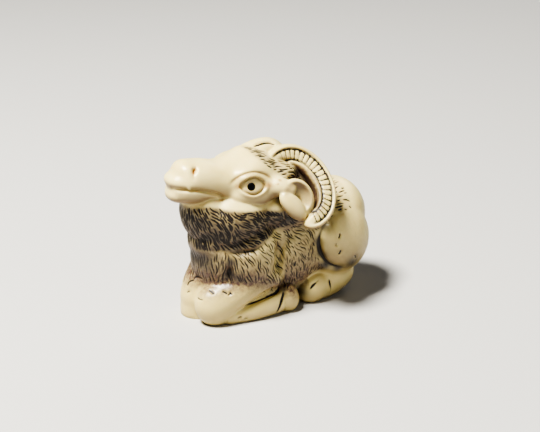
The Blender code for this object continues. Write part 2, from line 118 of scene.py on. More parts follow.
def skin(name, rings):
    bm = bmesh.new()
    rows = [[bm.verts.new(p) for p in ring] for ring in rings]
    count = len(rows[0])
    for low, high in zip(rows, rows[1:]):
        for i in range(count):
            j = (i + 1) % count
            bm.faces.new((low[i], low[j], high[j], high[i]))
    bm.faces.new(rows[0])
    bm.faces.new(rows[-1])
    return link_mesh(name, mesh_from_bmesh(name, bm))


# %% [markdown]
# Legs, like many parts of the body, are tubes that change width. A limb runs through a few
# stations, each with a centre, a half width and a half height, and a smooth curve fills in
# between them, so that a knee is one station and not a patch of points.


# %% Limbs
def smooth_curve(values, t):
    rows = np.asarray(values, float)
    padded = np.vstack([2 * rows[0] - rows[1], rows, 2 * rows[-1] - rows[-2]])
    place = t * (len(rows) - 1)
    k = min(int(place), len(rows) - 2)
    f = place - k
    a, b, c, d = padded[k : k + 4]
    return 0.5 * (
        2 * b + (c - a) * f + (2 * a - 5 * b + 4 * c - d) * f**2 + (3 * b - a - 3 * c + d) * f**3
    )


def limb_ring(centre, tangent, half_width, half_height, around=32):
    along = tangent / np.linalg.norm(tangent)
    side = np.cross(along, (0.0, 0.0, 1.0))
    side /= np.linalg.norm(side)
    up = np.cross(side, along)
    angles = [2 * math.pi * i / around for i in range(around)]
    return [
        centre + side * half_width * math.cos(a) + up * half_height * math.sin(a) for a in angles
    ]


def limb(name, stations, segments=24):
    samples = [smooth_curve(stations, i / segments) for i in range(segments + 1)]
    tangents = np.gradient(np.array([s[:3] for s in samples]), axis=0)
    cap = [math.radians(a) for a in (80, 60, 40, 20)]
    first, last = samples[0], samples[-1]
    start = tangents[0] / np.linalg.norm(tangents[0])
    end = tangents[-1] / np.linalg.norm(tangents[-1])
    rings = []
    for a in cap:
        centre = first[:3] - start * first[3:5].mean() * math.sin(a)
        rings.append(limb_ring(centre, start, first[3] * math.cos(a), first[4] * math.cos(a)))
    for sample, tangent in zip(samples, tangents):
        rings.append(limb_ring(sample[:3], tangent, sample[3], sample[4]))
    for a in reversed(cap):
        centre = last[:3] + end * last[3:5].mean() * math.sin(a)
        rings.append(limb_ring(centre, end, last[3] * math.cos(a), last[4] * math.cos(a)))
    return skin(name, rings)


# %% Knead lumps into one skin
def evaluated_mesh(item):
    graph = bpy.context.evaluated_depsgraph_get()
    graph.update()
    return bpy.data.meshes.new_from_object(item.evaluated_get(graph), depsgraph=graph)


def replace_with(items, name, mesh):
    for item in items:
        bpy.data.objects.remove(item, do_unlink=True)
    return link_mesh(name, mesh)


def knead(name, items, grain, blend, rounded=False):
    bm = bmesh.new()
    for item in items:
        bm.from_mesh(item.data)
    joined = replace_with(items, name, mesh_from_bmesh(name, bm))
    remesh = joined.modifiers.new("one skin", "REMESH")
    remesh.mode = "VOXEL"
    remesh.voxel_size = grain
    remesh.adaptivity = 0.0
    smooth = joined.modifiers.new("blend", "SMOOTH")
    smooth.factor = 0.5
    smooth.iterations = blend
    if rounded:
        finer = joined.modifiers.new("finer skin", "SUBSURF")
        finer.levels = 1
        finer.render_levels = 1
    kneaded = replace_with([joined], name, evaluated_mesh(joined))
    print(name, "kneaded:", len(kneaded.data.vertices), "points")
    return kneaded


# %% [markdown]
# The ram lies with its legs folded under it and its head raised. The trunk, rump, chest and
# shoulders are broad lumps. The thighs stand out at the sides, the tail is tucked in, and each
# folded foreleg shows as a forearm over a cannon bone that ends in a hoof.

# %% Body masses
BODY_GRAIN = 0.42
BODY_BLEND = 9


def body_lumps():
    parts = [
        lump("trunk", (3.0, 0.0, 12.6), (16.0, 8.2, 11.8)),
        lump("rump", (12.8, 0.0, 14.4), (10.4, 9.0, 11.9)),
        lump("rump top", (16.5, 0.0, 18.3), (7.3, 8.4, 8.0)),
        lump("chest", (-9.8, 0.0, 14.6), (8.2, 8.7, 9.6)),
        lump("brisket", (-13.2, 0.0, 13.4), (5.8, 6.8, 8.6)),
        lump("throat base", (-13.4, 0.0, 18.0), (6.4, 6.4, 6.4)),
        lump("nape", (2.4, 0.0, 22.8), (9.6, 7.8, 8.6)),
        lump("tail", (21.8, 0.4, 12.6), (1.7, 2.4, 4.4), (0, 8, 0)),
        lump("belly", (1.5, 0.0, 5.2), (17.0, 6.0, 6.8)),
    ]
    for side, name in SIDES:
        parts += [
            lump(f"{name} horn bed", (4.6, side * 4.0, 26.4), (5.6, 2.4, 6.6), (side * 20, 0, 0)),
            lump(f"{name} thigh", (14.2, side * 5.9, 14.2), (7.9, 5.4, 8.8), (0, -16, 0)),
            lump(f"{name} shoulder", (-7.8, side * 5.0, 13.6), (6.6, 4.9, 9.2), (0, 8, 0)),
            limb(
                f"{name} hind shank",
                [
                    (16.2, side * 3.1, 4.5, 3.9, 4.2),
                    (13.6, side * 4.4, 3.9, 3.6, 4.1),
                    (11.0, side * 5.2, 3.2, 3.0, 3.8),
                ],
            ),
        ]
    parts += [
        limb(
            "near forearm",
            [
                (-2.8, -6.0, 9.0, 3.2, 3.2),
                (-7.5, -5.8, 8.2, 3.7, 3.6),
                (-12.0, -5.2, 6.2, 4.0, 4.0),
                (-16.3, -4.5, 3.9, 4.1, 4.9),
            ],
        ),
        limb(
            "far forearm",
            [
                (-10.4, 3.8, 12.6, 4.4, 4.2),
                (-14.5, 2.9, 9.2, 4.1, 4.0),
                (-17.2, 1.9, 4.6, 3.9, 4.0),
                (-17.2, 1.6, -1.0, 4.0, 4.0),
            ],
        ),
    ]
    return parts


def foot_lumps():
    parts = []
    for (side, name), hoof_x in zip(SIDES, (0.4, -0.6)):
        parts += [
            limb(
                f"{name} cannon",
                [
                    (-13.5, side * 5.8, 1.6, 2.6, 2.4),
                    (-8.0, side * 6.8, 2.2, 2.7, 2.8),
                    (-2.6, side * 7.0, 3.0, 2.7, 3.3),
                ],
            ),
            lump(f"{name} fore hoof", (hoof_x, side * 6.9, 2.9), (2.9, 2.8, 3.5), (0, -16, 0)),
            lump(f"{name} hind hoof", (8.2, side * 5.4, 3.2), (4.2, 3.2, 3.8), (0, -18, 0)),
        ]
    return parts


body = knead("body", body_lumps(), BODY_GRAIN, BODY_BLEND, rounded=True)

# %% [markdown]
# The beard and throat fur stand proud of the neck as one thick ruff, so they are kneaded apart
# from the body and only meet it later. That keeps the clear shelf under the ruff.

# %% Ruff
RUFF_BLEND = 10


def ruff_lumps():
    return [
        lump("ruff throat", (-15.6, 0.0, 23.4), (5.6, 6.2, 7.6), (0, -24, 0)),
        lump("ruff cheek", (-9.6, 0.0, 23.2), (9.4, 9.2, 6.8), (0, 4, 0)),
        lump("ruff low", (-11.5, 0.0, 20.4), (7.4, 8.2, 4.6)),
        lump("ruff nape", (-1.8, 0.0, 24.0), (7.8, 8.4, 6.0)),
    ]


ruff = knead("ruff", ruff_lumps(), BODY_GRAIN, RUFF_BLEND, rounded=True)

# %% [markdown]
# The skull is a row of rounded-box sections from the lips to the poll: a blunt muzzle, a hollow
# over the nose, a domed forehead. Lips, brows and cheeks are lumps on top of it.

# %% Head
HEAD_BLEND = 14
HEAD_SQUARENESS = 2.35
# Each row is (x, middle height, half height, half width).
HEAD_SECTIONS = [
    (-24.1, 31.3, 2.2, 2.7),
    (-22.6, 31.6, 3.6, 4.0),
    (-20.3, 32.0, 4.7, 4.8),
    (-16.5, 31.6, 4.8, 5.0),
    (-13.0, 31.0, 4.5, 5.4),
    (-9.0, 30.9, 5.1, 6.5),
    (-5.0, 31.2, 6.0, 7.2),
    (-0.5, 30.0, 5.3, 6.6),
    (3.0, 28.8, 5.0, 5.0),
]


def skull_rings(rows=40, around=40):
    power = HEAD_SQUARENESS
    rings = []
    for row in range(rows + 1):
        x, middle, half_height, half_width = smooth_curve(HEAD_SECTIONS, row / rows)
        ring = []
        for i in range(around):
            a = 2 * math.pi * i / around
            c, s = math.cos(a), math.sin(a)
            reach = (abs(c) ** power + abs(s) ** power) ** (-1 / power)
            ring.append((x, c * reach * half_width, middle + s * reach * half_height))
        rings.append(ring)
    return rings


def head_lumps():
    parts = [
        skin("skull", skull_rings()),
        lump("nose", (-20.4, 0.0, 34.2), (3.1, 4.0, 2.8), (0, 24, 0)),
        lump("upper lip", (-22.7, 0.0, 32.9), (2.5, 3.7, 1.8)),
        lump("lower lip", (-22.4, 0.0, 29.8), (2.7, 3.6, 1.9)),
        lump("crown", (-4.8, 0.0, 32.7), (6.0, 5.2, 4.3)),
        lump("poll", (3.4, 0.0, 29.0), (6.2, 4.9, 5.3)),
    ]
    for side, name in SIDES:
        parts += [
            lump(f"{name} brow", (-7.6, side * 4.5, 33.0), (4.6, 2.6, 2.3), (0, -8, 0)),
            lump(f"{name} cheek", (-6.5, side * 4.6, 28.6), (6.2, 3.4, 3.6)),
            lump(f"{name} temple", (0.4, side * 4.5, 31.2), (3.6, 2.6, 2.8)),
            lump(f"{name} mouth side", (-19.0, side * 2.6, 30.2), (4.6, 2.2, 2.4)),
            limb(
                f"{name} ear stem",
                [
                    (-3.4, side * 5.0, 29.8, 2.8, 2.9),
                    (-1.8, side * 7.4, 29.8, 2.3, 2.4),
                    (0.0, side * 9.0, 29.4, 1.7, 1.6),
                ],
            ),
        ]
    return parts


head = knead("head", head_lumps(), BODY_GRAIN, HEAD_BLEND, rounded=True)

# %% [markdown]
# A few small helpers serve every node tree here, for shapes and for the resin. One adds a node
# with its settings and links, and two make sums of such nodes. Another sets the named inputs of a
# finished tree on a modifier, by the socket's own identifier.


# %% Node helpers
def add_node(tree, kind, inputs=None, **settings):
    made = tree.nodes.new(kind)
    for key, value in settings.items():
        setattr(made, key, value)
    for key, value in (inputs or {}).items():
        if isinstance(value, bpy.types.NodeSocket):
            tree.links.new(value, made.inputs[key])
        else:
            made.inputs[key].default_value = value
    return made


def math_node(tree, operation, *values):
    return add_node(tree, "ShaderNodeMath", dict(enumerate(values)), operation=operation).outputs[0]


def product(tree, first, *others):
    for value in others:
        first = math_node(tree, "MULTIPLY", first, value)
    return first


def new_shape_tree(name, sockets):
    tree = bpy.data.node_groups.new(name, "GeometryNodeTree")
    tree.interface.new_socket("Geometry", in_out="INPUT", socket_type="NodeSocketGeometry")
    for label, kind in sockets.items():
        tree.interface.new_socket(label, in_out="INPUT", socket_type=kind)
    tree.interface.new_socket("Geometry", in_out="OUTPUT", socket_type="NodeSocketGeometry")
    return tree, tree.nodes.new("NodeGroupInput").outputs


def end_tree(tree, shape, resin):
    real = add_node(tree, "GeometryNodeRealizeInstances", {"Geometry": shape}).outputs[0]
    inputs = {"Geometry": real, "Material": resin}
    coated = add_node(tree, "GeometryNodeSetMaterial", inputs).outputs[0]
    add_node(tree, "NodeGroupOutput", {"Geometry": coated})


def run_tree(item, tree, values):
    working = item.modifiers.new(tree.name, "NODES")
    working.node_group = tree
    for socket in tree.interface.items_tree:
        if socket.in_out == "INPUT" and socket.name in values:
            working[socket.identifier] = values[socket.name]
    mesh = evaluated_mesh(item)
    item.modifiers.remove(working)
    return replace_with([item], item.name, mesh)


resin = bpy.data.materials.new("ivory-coloured cast resin")

# %% [markdown]
# Each horn curls back round the ear in about three quarters of a turn. Its face is worked in
# bands: a smooth rim outside, a band of cross ribs, and a smooth band inside, with a dark cut
# between each pair. The tube is swept here, and it carries how far each point is from the outer
# edge and along the curl. Geometry Nodes then press the bands and ribs in, from named sizes.

# %% Plain horns
HORN_CENTRE = (2.9, 28.6)
FAR_HORN_CENTRE = (-1.2, 29.6)
HORN_RADIUS = 8.45
HORN_START_DEG = 132.0
HORN_END_DEG = -98.0
HORN_TOP_SPREAD = 3.4
HORN_TIP_SPREAD = 9.9
HORN_WIDTH = 5.5
HORN_START_WIDTH = 2.7
HORN_TIP_WIDTH = 3.0
HORN_THICKNESS = 4.6
HORN_STEPS = 420
HORN_AROUND = 96


def horn_width(t):
    opening = min(1.0, t / 0.34)
    opening = opening * opening * (3 - 2 * opening)
    full = HORN_START_WIDTH + (HORN_WIDTH - HORN_START_WIDTH) * opening
    return full - (HORN_WIDTH - HORN_TIP_WIDTH) * t**3.2


def plain_horn(name, side, centre):
    rings, from_edge, along, facing, fronts = [], [], [], [], []
    face = Vector((-0.12, side * 0.92, 0.36)).normalized()
    for i in range(HORN_STEPS + 1):
        t = i / HORN_STEPS
        angle = math.radians(HORN_START_DEG + (HORN_END_DEG - HORN_START_DEG) * t)
        blunt = math.sqrt(max(0.0, 1.0 - ((t - 0.9) / 0.1) ** 2)) if t > 0.9 else 1.0
        blunt *= math.sqrt(min(1.0, 0.25 + t / 0.05))
        full_width = horn_width(t)
        width = max(0.2, full_width * blunt)
        thickness = max(0.2, HORN_THICKNESS * (1.0 - 0.35 * t**2) * blunt)
        opened = (HORN_TIP_SPREAD - HORN_TOP_SPREAD) * (1.0 - math.sin(angle)) / 2.0
        spread = HORN_TOP_SPREAD + opened
        outward = Vector((math.cos(angle), 0.0, math.sin(angle)))
        outward = (outward - face * outward.dot(face)).normalized()
        hub = Vector((centre[0], side * spread, centre[1]))
        middle = hub + outward * (HORN_RADIUS - full_width / 2)
        ring = []
        for k in range(HORN_AROUND):
            a = 2 * math.pi * k / HORN_AROUND
            u, v = math.cos(a), math.sin(a)
            reach = (abs(u) ** 3.0 + abs(v) ** 3.0) ** (-1 / 3.0)
            u, v = u * reach, v * reach
            ring.append(middle + outward * (u * width / 2) + face * (v * thickness / 2))
            from_edge.append((full_width - u * width) / 2)
            along.append(t)
            facing.append(min(1.0, v * 1.6) * blunt if v > 0.0 else 0.0)
            fronts.append(face)
        rings.append(ring)
    horn = skin(name, rings)
    for label, values in (("from edge", from_edge), ("along", along), ("facing", facing)):
        horn.data.attributes.new(label, "FLOAT", "POINT").data.foreach_set("value", values)
    front = horn.data.attributes.new("front", "FLOAT_VECTOR", "POINT")
    front.data.foreach_set("vector", np.array(fronts).ravel())
    return horn


# %% Horn bands and ribs as a tree
# Widths are measured inward from the horn's outer edge.
HORN_RIM = 1.15
HORN_RIB_BAND = (1.4, 3.45)
INNER_CUT_SHIFT = 0.15
INNER_BAND_SHIFT = 1.0
INNER_BAND_HALF_WIDTH = 0.75
RIB_COUNT = 25
RIB_DEPTH = 0.42
RIB_SHARPNESS = 7.0
RIM_HEIGHT = 0.38
BAND_CUT_DEPTH = 0.6
CUT_HALF_WIDTH = 0.2
# How much stain the long cuts and the cross cuts hold.
CUT_STAIN = 0.75
RIB_STAIN = 1.2


def hill(tree, value, centre, half_width):
    part = math_node(tree, "DIVIDE", math_node(tree, "SUBTRACT", value, centre), half_width)
    return math_node(tree, "EXPONENT", product(tree, part, part, -1.0))


def step_up(tree, value, start, end):
    inputs = {"Value": value, "From Min": start, "From Max": end, "To Min": 0.0, "To Max": 1.0}
    kind = "ShaderNodeMapRange"
    return add_node(tree, kind, inputs, interpolation_type="SMOOTHSTEP").outputs[0]


def named_value(tree, label, kind="FLOAT"):
    inputs = {"Name": label}
    return add_node(tree, "GeometryNodeInputNamedAttribute", inputs, data_type=kind).outputs[0]


def keep_value(tree, shape, label, value):
    inputs = {"Geometry": shape, "Name": label, "Value": value}
    kind = "GeometryNodeStoreNamedAttribute"
    return add_node(tree, kind, inputs, data_type="FLOAT", domain="POINT").outputs[0]


def moved(tree, shape, direction, distance):
    inputs = {0: direction, "Scale": distance}
    offset = add_node(tree, "ShaderNodeVectorMath", inputs, operation="SCALE").outputs[0]
    inputs = {"Geometry": shape, "Offset": offset}
    return add_node(tree, "GeometryNodeSetPosition", inputs).outputs[0]


def horn_band_tree():
    sizes = ("Rib Count", "Rib Depth", "Rim Height", "Cut Depth")
    tree, given = new_shape_tree("horn bands", {size: "NodeSocketFloat" for size in sizes})
    edge, along = named_value(tree, "from edge"), named_value(tree, "along")
    facing = named_value(tree, "facing")
    low, high = HORN_RIB_BAND

    # Two long cuts run beside the band of ribs and fade out at both ends of the horn.
    outer_cut = hill(tree, edge, (HORN_RIM + low) / 2, CUT_HALF_WIDTH)
    inner_cut = hill(tree, edge, high + INNER_CUT_SHIFT, CUT_HALF_WIDTH)
    cut_run = product(tree, step_up(tree, along, 0.97, 0.90), step_up(tree, along, 0.02, 0.12))
    cuts = product(tree, math_node(tree, "MAXIMUM", outer_cut, inner_cut), cut_run)

    # A cosine sharpened by a power gives narrow cross cuts between broad ribs.
    into_band = step_up(tree, edge, low - 0.1, low + 0.2)
    in_band = product(tree, into_band, step_up(tree, edge, high + 0.1, high - 0.2))
    rib_run = product(tree, step_up(tree, along, 0.05, 0.24), step_up(tree, along, 0.95, 0.90))
    turns = product(tree, along, given["Rib Count"], 2 * math.pi)
    wave = math_node(tree, "MULTIPLY_ADD", math_node(tree, "COSINE", turns), 0.5, 0.5)
    rib_cut = product(tree, math_node(tree, "POWER", wave, RIB_SHARPNESS), in_band, rib_run)

    # The rim and the inner band stand up as two rounded hills.
    rim = hill(tree, edge, HORN_RIM / 2, HORN_RIM / 2)
    inner_band = hill(tree, edge, high + INNER_BAND_SHIFT, INNER_BAND_HALF_WIDTH)
    raised = product(tree, math_node(tree, "ADD", rim, inner_band), given["Rim Height"])
    cut_in = product(tree, cuts, given["Cut Depth"])
    rib_in = product(tree, rib_cut, given["Rib Depth"])
    relief = math_node(tree, "SUBTRACT", math_node(tree, "SUBTRACT", raised, cut_in), rib_in)
    relief = product(tree, relief, facing)
    front = named_value(tree, "front", "FLOAT_VECTOR")
    shape = moved(tree, given["Geometry"], front, relief)

    in_cuts, in_ribs = product(tree, cuts, CUT_STAIN), product(tree, rib_cut, RIB_STAIN)
    stain = product(tree, math_node(tree, "MAXIMUM", in_cuts, in_ribs), facing)
    end_tree(tree, keep_value(tree, shape, "stain", stain), resin)
    return tree


# %% Both horns
band_tree = horn_band_tree()
band_sizes = {
    "Rib Count": float(RIB_COUNT),
    "Rib Depth": RIB_DEPTH,
    "Rim Height": RIM_HEIGHT,
    "Cut Depth": BAND_CUT_DEPTH,
}
horns = [
    run_tree(plain_horn("near horn", NEAR, HORN_CENTRE), band_tree, band_sizes),
    run_tree(plain_horn("far horn", FAR, FAR_HORN_CENTRE), band_tree, band_sizes),
]
print("each horn:", len(horns[0].data.vertices), "points,", RIB_COUNT, "ribs")

# %% [markdown]
# An ear is a thick leaf that hangs down and back. Its upper and back half is a hollow with a
# thin rim, and a smooth rounded lobe fills the lower front half. The leaf and its hollow are two
# lumps and a Boolean, which gives a clean rim edge.

# %% Ears
EAR_ROOT = (-0.5, 8.6, 31.4)
EAR_TIP = (2.8, 11.2, 23.2)
EAR_WIDTH = 7.5
EAR_THICKNESS = 1.6
EAR_RIM = 0.75
# Where the hollow and the lobe lie in the leaf: (towards the back, outward, up), in millimetres.
HOLLOW_PLACE = (0.35, 1.7, 0.55)
HOLLOW_DEPTH = 1.9
LOBE_PLACE = (-1.65, 0.65, -0.8)
LOBE_LEAN_DEG = -14.0

# The stain and the painted shade need to know where the hollows are, so each one's place is kept.
ear_bowls = []


def ear(name, side):
    root = Vector((EAR_ROOT[0], side * EAR_ROOT[1], EAR_ROOT[2]))
    down = Vector((EAR_TIP[0], side * EAR_TIP[1], EAR_TIP[2])) - root
    up = -down.normalized()
    face = Vector((-0.22, side * 0.93, 0.24))
    face = (face - up * face.dot(up)).normalized()
    axes = Matrix((face.cross(up), face, up)).transposed()
    half = down.length / 2
    middle = root + down * 0.5

    def place(shift, lean_deg=0.0):
        centre = middle + axes @ Vector((side * shift[0], shift[1], shift[2]))
        lean = Matrix.Rotation(math.radians(side * lean_deg), 4, "Y")
        return Matrix.Translation(centre) @ axes.to_4x4() @ lean

    hollow_radii = (EAR_WIDTH / 2 - EAR_RIM, HOLLOW_DEPTH, half - 0.95)
    bowl = place(HOLLOW_PLACE)
    ear_bowls.append((side, (bowl @ Matrix.Diagonal((*hollow_radii, 1.0))).inverted()))
    leaf_radii = (EAR_WIDTH / 2, EAR_THICKNESS, half)
    leaf = placed_lump(f"{name} leaf", place((0.0, 0.0, 0.0)), leaf_radii)
    hollow = placed_lump(f"{name} hollow", bowl, hollow_radii)
    cut = leaf.modifiers.new("hollow", "BOOLEAN")
    cut.operation = "DIFFERENCE"
    cut.object = hollow
    shell = replace_with([leaf, hollow], f"{name} shell", evaluated_mesh(leaf))
    lobe_radii = (2.05, 1.5, half - 0.65)
    lobe = placed_lump(f"{name} lobe", place(LOBE_PLACE, LOBE_LEAN_DEG), lobe_radii)
    return [shell, lobe]


ears = [piece for side, name in SIDES for piece in ear(f"{name} ear", side)]

# %% [markdown]
# Now everything is pressed into the one casting. The grain is finer than the narrowest cut, so
# that the horn bands keep their edges.

# %% The whole figure
FIGURE_GRAIN = 0.17
FIGURE_BLEND = 4


def points_of(item):
    flat = np.empty(len(item.data.vertices) * 3)
    item.data.vertices.foreach_get("co", flat)
    return flat.reshape(-1, 3)


def lookup(points):
    tree = KDTree(len(points))
    for i, point in enumerate(points):
        tree.insert(point, i)
    tree.balance()
    return tree


horn_points = np.vstack([points_of(item) for item in horns])
horn_stain = np.concatenate(
    [np.array([v.value for v in item.data.attributes["stain"].data]) for item in horns]
)
horn_lookup = lookup(horn_points)
ear_points = np.vstack([points_of(item) for item in ears])
ear_lookup = lookup(ear_points)
clay = [body, ruff, head, *foot_lumps(), *horns, *ears]
figure = knead("figure", clay, FIGURE_GRAIN, FIGURE_BLEND)


# %% [markdown]
# The carving tools work on the skin as plain arrays: push points in or out along their normals,
# measure how far each is from a line, and find the place that a side drawing's (x, z) lands on.


# %% Carving tools
# Places well outside the figure, and just beside it, from which a side is looked at.
OUTSIDE = 40.0
BESIDE = 12.0
# Farther from a line than any cut reaches.
FAR_OFF = 1e3


class Surface:
    def __init__(self, item):
        self.mesh = item.data
        self.read()

    def read(self):
        flat = np.empty(len(self.mesh.vertices) * 3)
        self.mesh.vertices.foreach_get("co", flat)
        self.points = flat.reshape(-1, 3).copy()
        self.mesh.vertices.foreach_get("normal", flat)
        self.normals = flat.reshape(-1, 3).copy()
        self.faces = np.empty(len(self.mesh.loops), int)
        self.mesh.loops.foreach_get("vertex_index", self.faces)
        self.faces = self.faces.reshape(-1, 4)
        self.tree = BVHTree.FromPolygons(self.points.tolist(), self.faces.tolist())

    def write(self):
        self.mesh.vertices.foreach_set("co", self.points.ravel())
        self.mesh.update()

    def push(self, amount):
        self.points += self.normals * amount[:, None]

    def on_side(self, x, z, side):
        outside, inward = Vector((x, side * OUTSIDE, z)), Vector((0.0, -side, 0.0))
        hit, normal, _, _ = self.tree.ray_cast(outside, inward)
        if hit is None:
            hit, normal, _, _ = self.tree.find_nearest(Vector((x, side * BESIDE, z)))
        return np.array(hit), np.array(normal)

    def path_on_side(self, corners, side, steps=36):
        places = [smooth_curve(corners, i / steps) for i in range(steps + 1)]
        return np.array([self.on_side(*place, side)[0] for place in places])

    def to_path(self, path, margin=4.0):
        low, high = path.min(axis=0) - margin, path.max(axis=0) + margin
        close = np.flatnonzero(((self.points > low) & (self.points < high)).all(axis=1))
        best = np.full(len(self.points), FAR_OFF)
        along = np.zeros(len(self.points))
        count = len(path) - 1
        for i in range(count):
            step = path[i + 1] - path[i]
            offset = self.points[close] - path[i]
            f = np.clip((offset @ step) / max(step @ step, 1e-12), 0.0, 1.0)
            gap = np.linalg.norm(offset - f[:, None] * step, axis=1)
            nearer = gap < best[close]
            best[close[nearer]] = gap[nearer]
            along[close[nearer]] = (i + f[nearer]) / count
        return best, along


# The stain stays in the middle of a cut, over this share of its width.
STAINED_SHARE = 0.5


def groove(surface, path, half_width, depth, taper=0.2, deepest=None):
    gap, along = surface.to_path(path)
    strength = np.clip(np.minimum(along, 1.0 - along) / taper, 0.0, 1.0) ** 0.7
    if deepest is not None:
        strength *= 0.3 + 0.7 * np.exp(-(((along - deepest) / 0.2) ** 2))
    surface.push(-depth * strength * np.exp(-((gap / half_width) ** 2)))
    return strength * np.exp(-((gap / (STAINED_SHARE * half_width)) ** 2))


# %% [markdown]
# The deep lines come next: the round of the haunch, the back of the shoulder, the hollow down
# the chest, and the creases of the folded legs and hooves. Each is a short list of places on the
# side view, a half width and a depth. How much stain a line holds is kept beside it.

# %% Creases
HAUNCH_LINE = [
    (14.0, 22.6),
    (11.4, 21.0),
    (9.2, 19.4),
    (7.8, 17.2),
    (7.4, 14.6),
    (8.0, 11.8),
    (10.0, 9.2),
    (13.4, 8.0),
    (18.0, 6.8),
]
SHOULDER_LINE = [(1.2, 18.8), (-0.4, 16.6), (-1.6, 14.6), (-1.6, 11.5), (-0.6, 8.8), (0.6, 6.8)]
CHEST_HOLLOW = [(-14.2, 17.0), (-14.1, 14.6), (-14.1, 12.4), (-14.0, 10.0)]
UNDER_RUFF = [
    (-19.0, 16.4),
    (-16.4, 17.3),
    (-13.4, 16.9),
    (-10.8, 16.9),
    (-8.6, 17.2),
    (-6.0, 18.2),
    (-3.4, 19.4),
]
FOREARM_LINE = [(-11.8, 3.8), (-8.6, 4.4), (-6.2, 4.9), (-3.7, 5.5), (-1.4, 6.2)]
FORE_HOOF_LINE = [(-1.2, 5.5), (-1.8, 4.2), (-2.8, 2.4), (-3.4, 0.4)]
HIND_HOOF_LINE = [(11.0, 5.6), (11.4, 4.0), (11.5, 2.2), (11.2, 0.6)]
HIND_CLEFT = [(5.6, 3.6), (7.0, 4.9), (8.8, 5.9)]

# Each crease is its line, half width, depth, stain held, and where along it is deepest.
CREASES = {
    "haunch": (HAUNCH_LINE, 0.95, 1.25, 0.9, 0.62),
    "shoulder": (SHOULDER_LINE, 1.3, 1.6, 0.2, 0.45),
    "chest hollow": (CHEST_HOLLOW, 0.9, 1.0, 0.5, 0.7),
    "under ruff": (UNDER_RUFF, 0.7, 0.95, 0.45, 0.55),
    "forearm": (FOREARM_LINE, 0.5, 0.75, 1.8, 0.85),
    "fore hoof": (FORE_HOOF_LINE, 0.55, 0.7, 2.2, 0.4),
    "hind hoof": (HIND_HOOF_LINE, 0.45, 0.5, 0.8, 0.3),
    "hind cleft": (HIND_CLEFT, 0.5, 0.5, 1.0, 0.4),
}

surface = Surface(figure)
ink = np.zeros(len(surface.points))
for side, _ in SIDES:
    for line, half_width, depth, stained, deepest in CREASES.values():
        cut = groove(surface, surface.path_on_side(line, side), half_width, depth, deepest=deepest)
        ink = np.maximum(ink, stained * cut)
print("creases cut:", len(CREASES), "a side")

# %% [markdown]
# The face is a ram's, so it follows the real one: a long closed mouth with a soft lower lip, a
# comma nostril, and an almond eye with thick lids round a domed ball. The pupil is a drop of
# black paint, set a little forward of the middle of the eye.

# %% Face
MOUTH = [(-24.8, 31.9), (-22.2, 31.8), (-19.4, 31.3), (-16.6, 30.2), (-14.9, 29.3), (-14.0, 28.2)]
NOSTRIL = [(-19.0, 36.4), (-19.8, 35.8), (-20.5, 34.9), (-20.8, 33.6)]
EYE_PLACE = (-8.0, 31.0)
EYE_LENGTH = 3.25
EYE_HEIGHT = 2.25
EYE_TILT_DEG = -6.0
PUPIL_SHIFT = (-0.45, -0.1)
PUPIL_RADIUS = 0.88
PUPIL_EDGE = 0.05
# How far from the middle of the eye, as a share of its almond, the upper lid's crease runs.
LID_CREASE_REACH = 1.34


def eye_frame(surface, side):
    centre, _ = surface.on_side(*EYE_PLACE, side)
    offset = surface.points - centre
    close = np.linalg.norm(offset, axis=1) < 2.5
    outward = surface.normals[close].mean(axis=0)
    outward /= np.linalg.norm(outward)
    tilt = math.radians(EYE_TILT_DEG)
    along = np.array((math.cos(tilt), 0.0, math.sin(tilt)))
    along -= outward * (along @ outward)
    along /= np.linalg.norm(along)
    above = np.cross(outward, along)
    above *= math.copysign(1.0, above[2])
    return offset, outward, along, above


def carve_eye(surface, side):
    offset, outward, along, above = eye_frame(surface, side)
    close = np.linalg.norm(offset, axis=1) < 6.0
    a = (offset @ along) / EYE_LENGTH
    b = (offset @ above) / EYE_HEIGHT
    reach = np.sqrt(np.abs(a) ** 1.65 + b**2)
    lids = 0.28 * np.exp(-(((reach - 1.0) / 0.13) ** 2))
    socket = -0.34 * np.exp(-(((reach - 0.83) / 0.09) ** 2))
    ball = 0.2 * np.clip(1.0 - (reach / 0.8) ** 2, 0.0, 1.0)
    upper = np.clip(b * 1.5, 0.0, 1.0)
    crease = -0.26 * np.exp(-(((reach - LID_CREASE_REACH) / 0.1) ** 2)) * upper
    surface.points += np.outer(np.where(close, lids + socket + ball + crease, 0.0), outward)
    from_pupil = np.hypot(offset @ along - PUPIL_SHIFT[0], offset @ above - PUPIL_SHIFT[1])
    pupil = surface.points[np.where(close, from_pupil, FAR_OFF).argmin()].copy()
    yellowed = np.where(close, np.clip((0.95 - reach) / 0.2, 0.0, 1.0), 0.0)
    stain = np.where(close, np.exp(-(((reach - 0.85) / 0.07) ** 2)) * 0.4, 0.0)
    back_corner = np.exp(-((a - 1.05) ** 2 + b**2) / 0.12)
    front_corner = np.exp(-((a + 1.0) ** 2 + b**2) / 0.06)
    corners = np.where(close, back_corner + front_corner, 0.0)
    over_lid = np.exp(-(((reach - LID_CREASE_REACH) / 0.12) ** 2)) * upper
    lid_crease = 0.6 * np.where(close, over_lid, 0.0)
    return pupil, yellowed, np.maximum.reduce([stain, corners, lid_crease])


pupils = []
amber = np.zeros(len(surface.points))
eye_yellow = np.zeros(len(surface.points))
for side, _ in SIDES:
    mouth_path = surface.path_on_side(MOUTH, side)
    mouth = groove(surface, mouth_path, 0.42, 0.75, taper=0.16)
    nostril_path = surface.path_on_side(NOSTRIL, side)
    nostril = groove(surface, nostril_path, 0.55, 0.9, taper=0.3, deepest=0.4)
    pupil, yellowed, eye_stain = carve_eye(surface, side)
    pupils.append(pupil)
    eye_yellow = np.maximum(eye_yellow, yellowed)
    amber = np.maximum.reduce([amber, 0.35 * mouth, 1.6 * nostril, 0.7 * eye_stain])

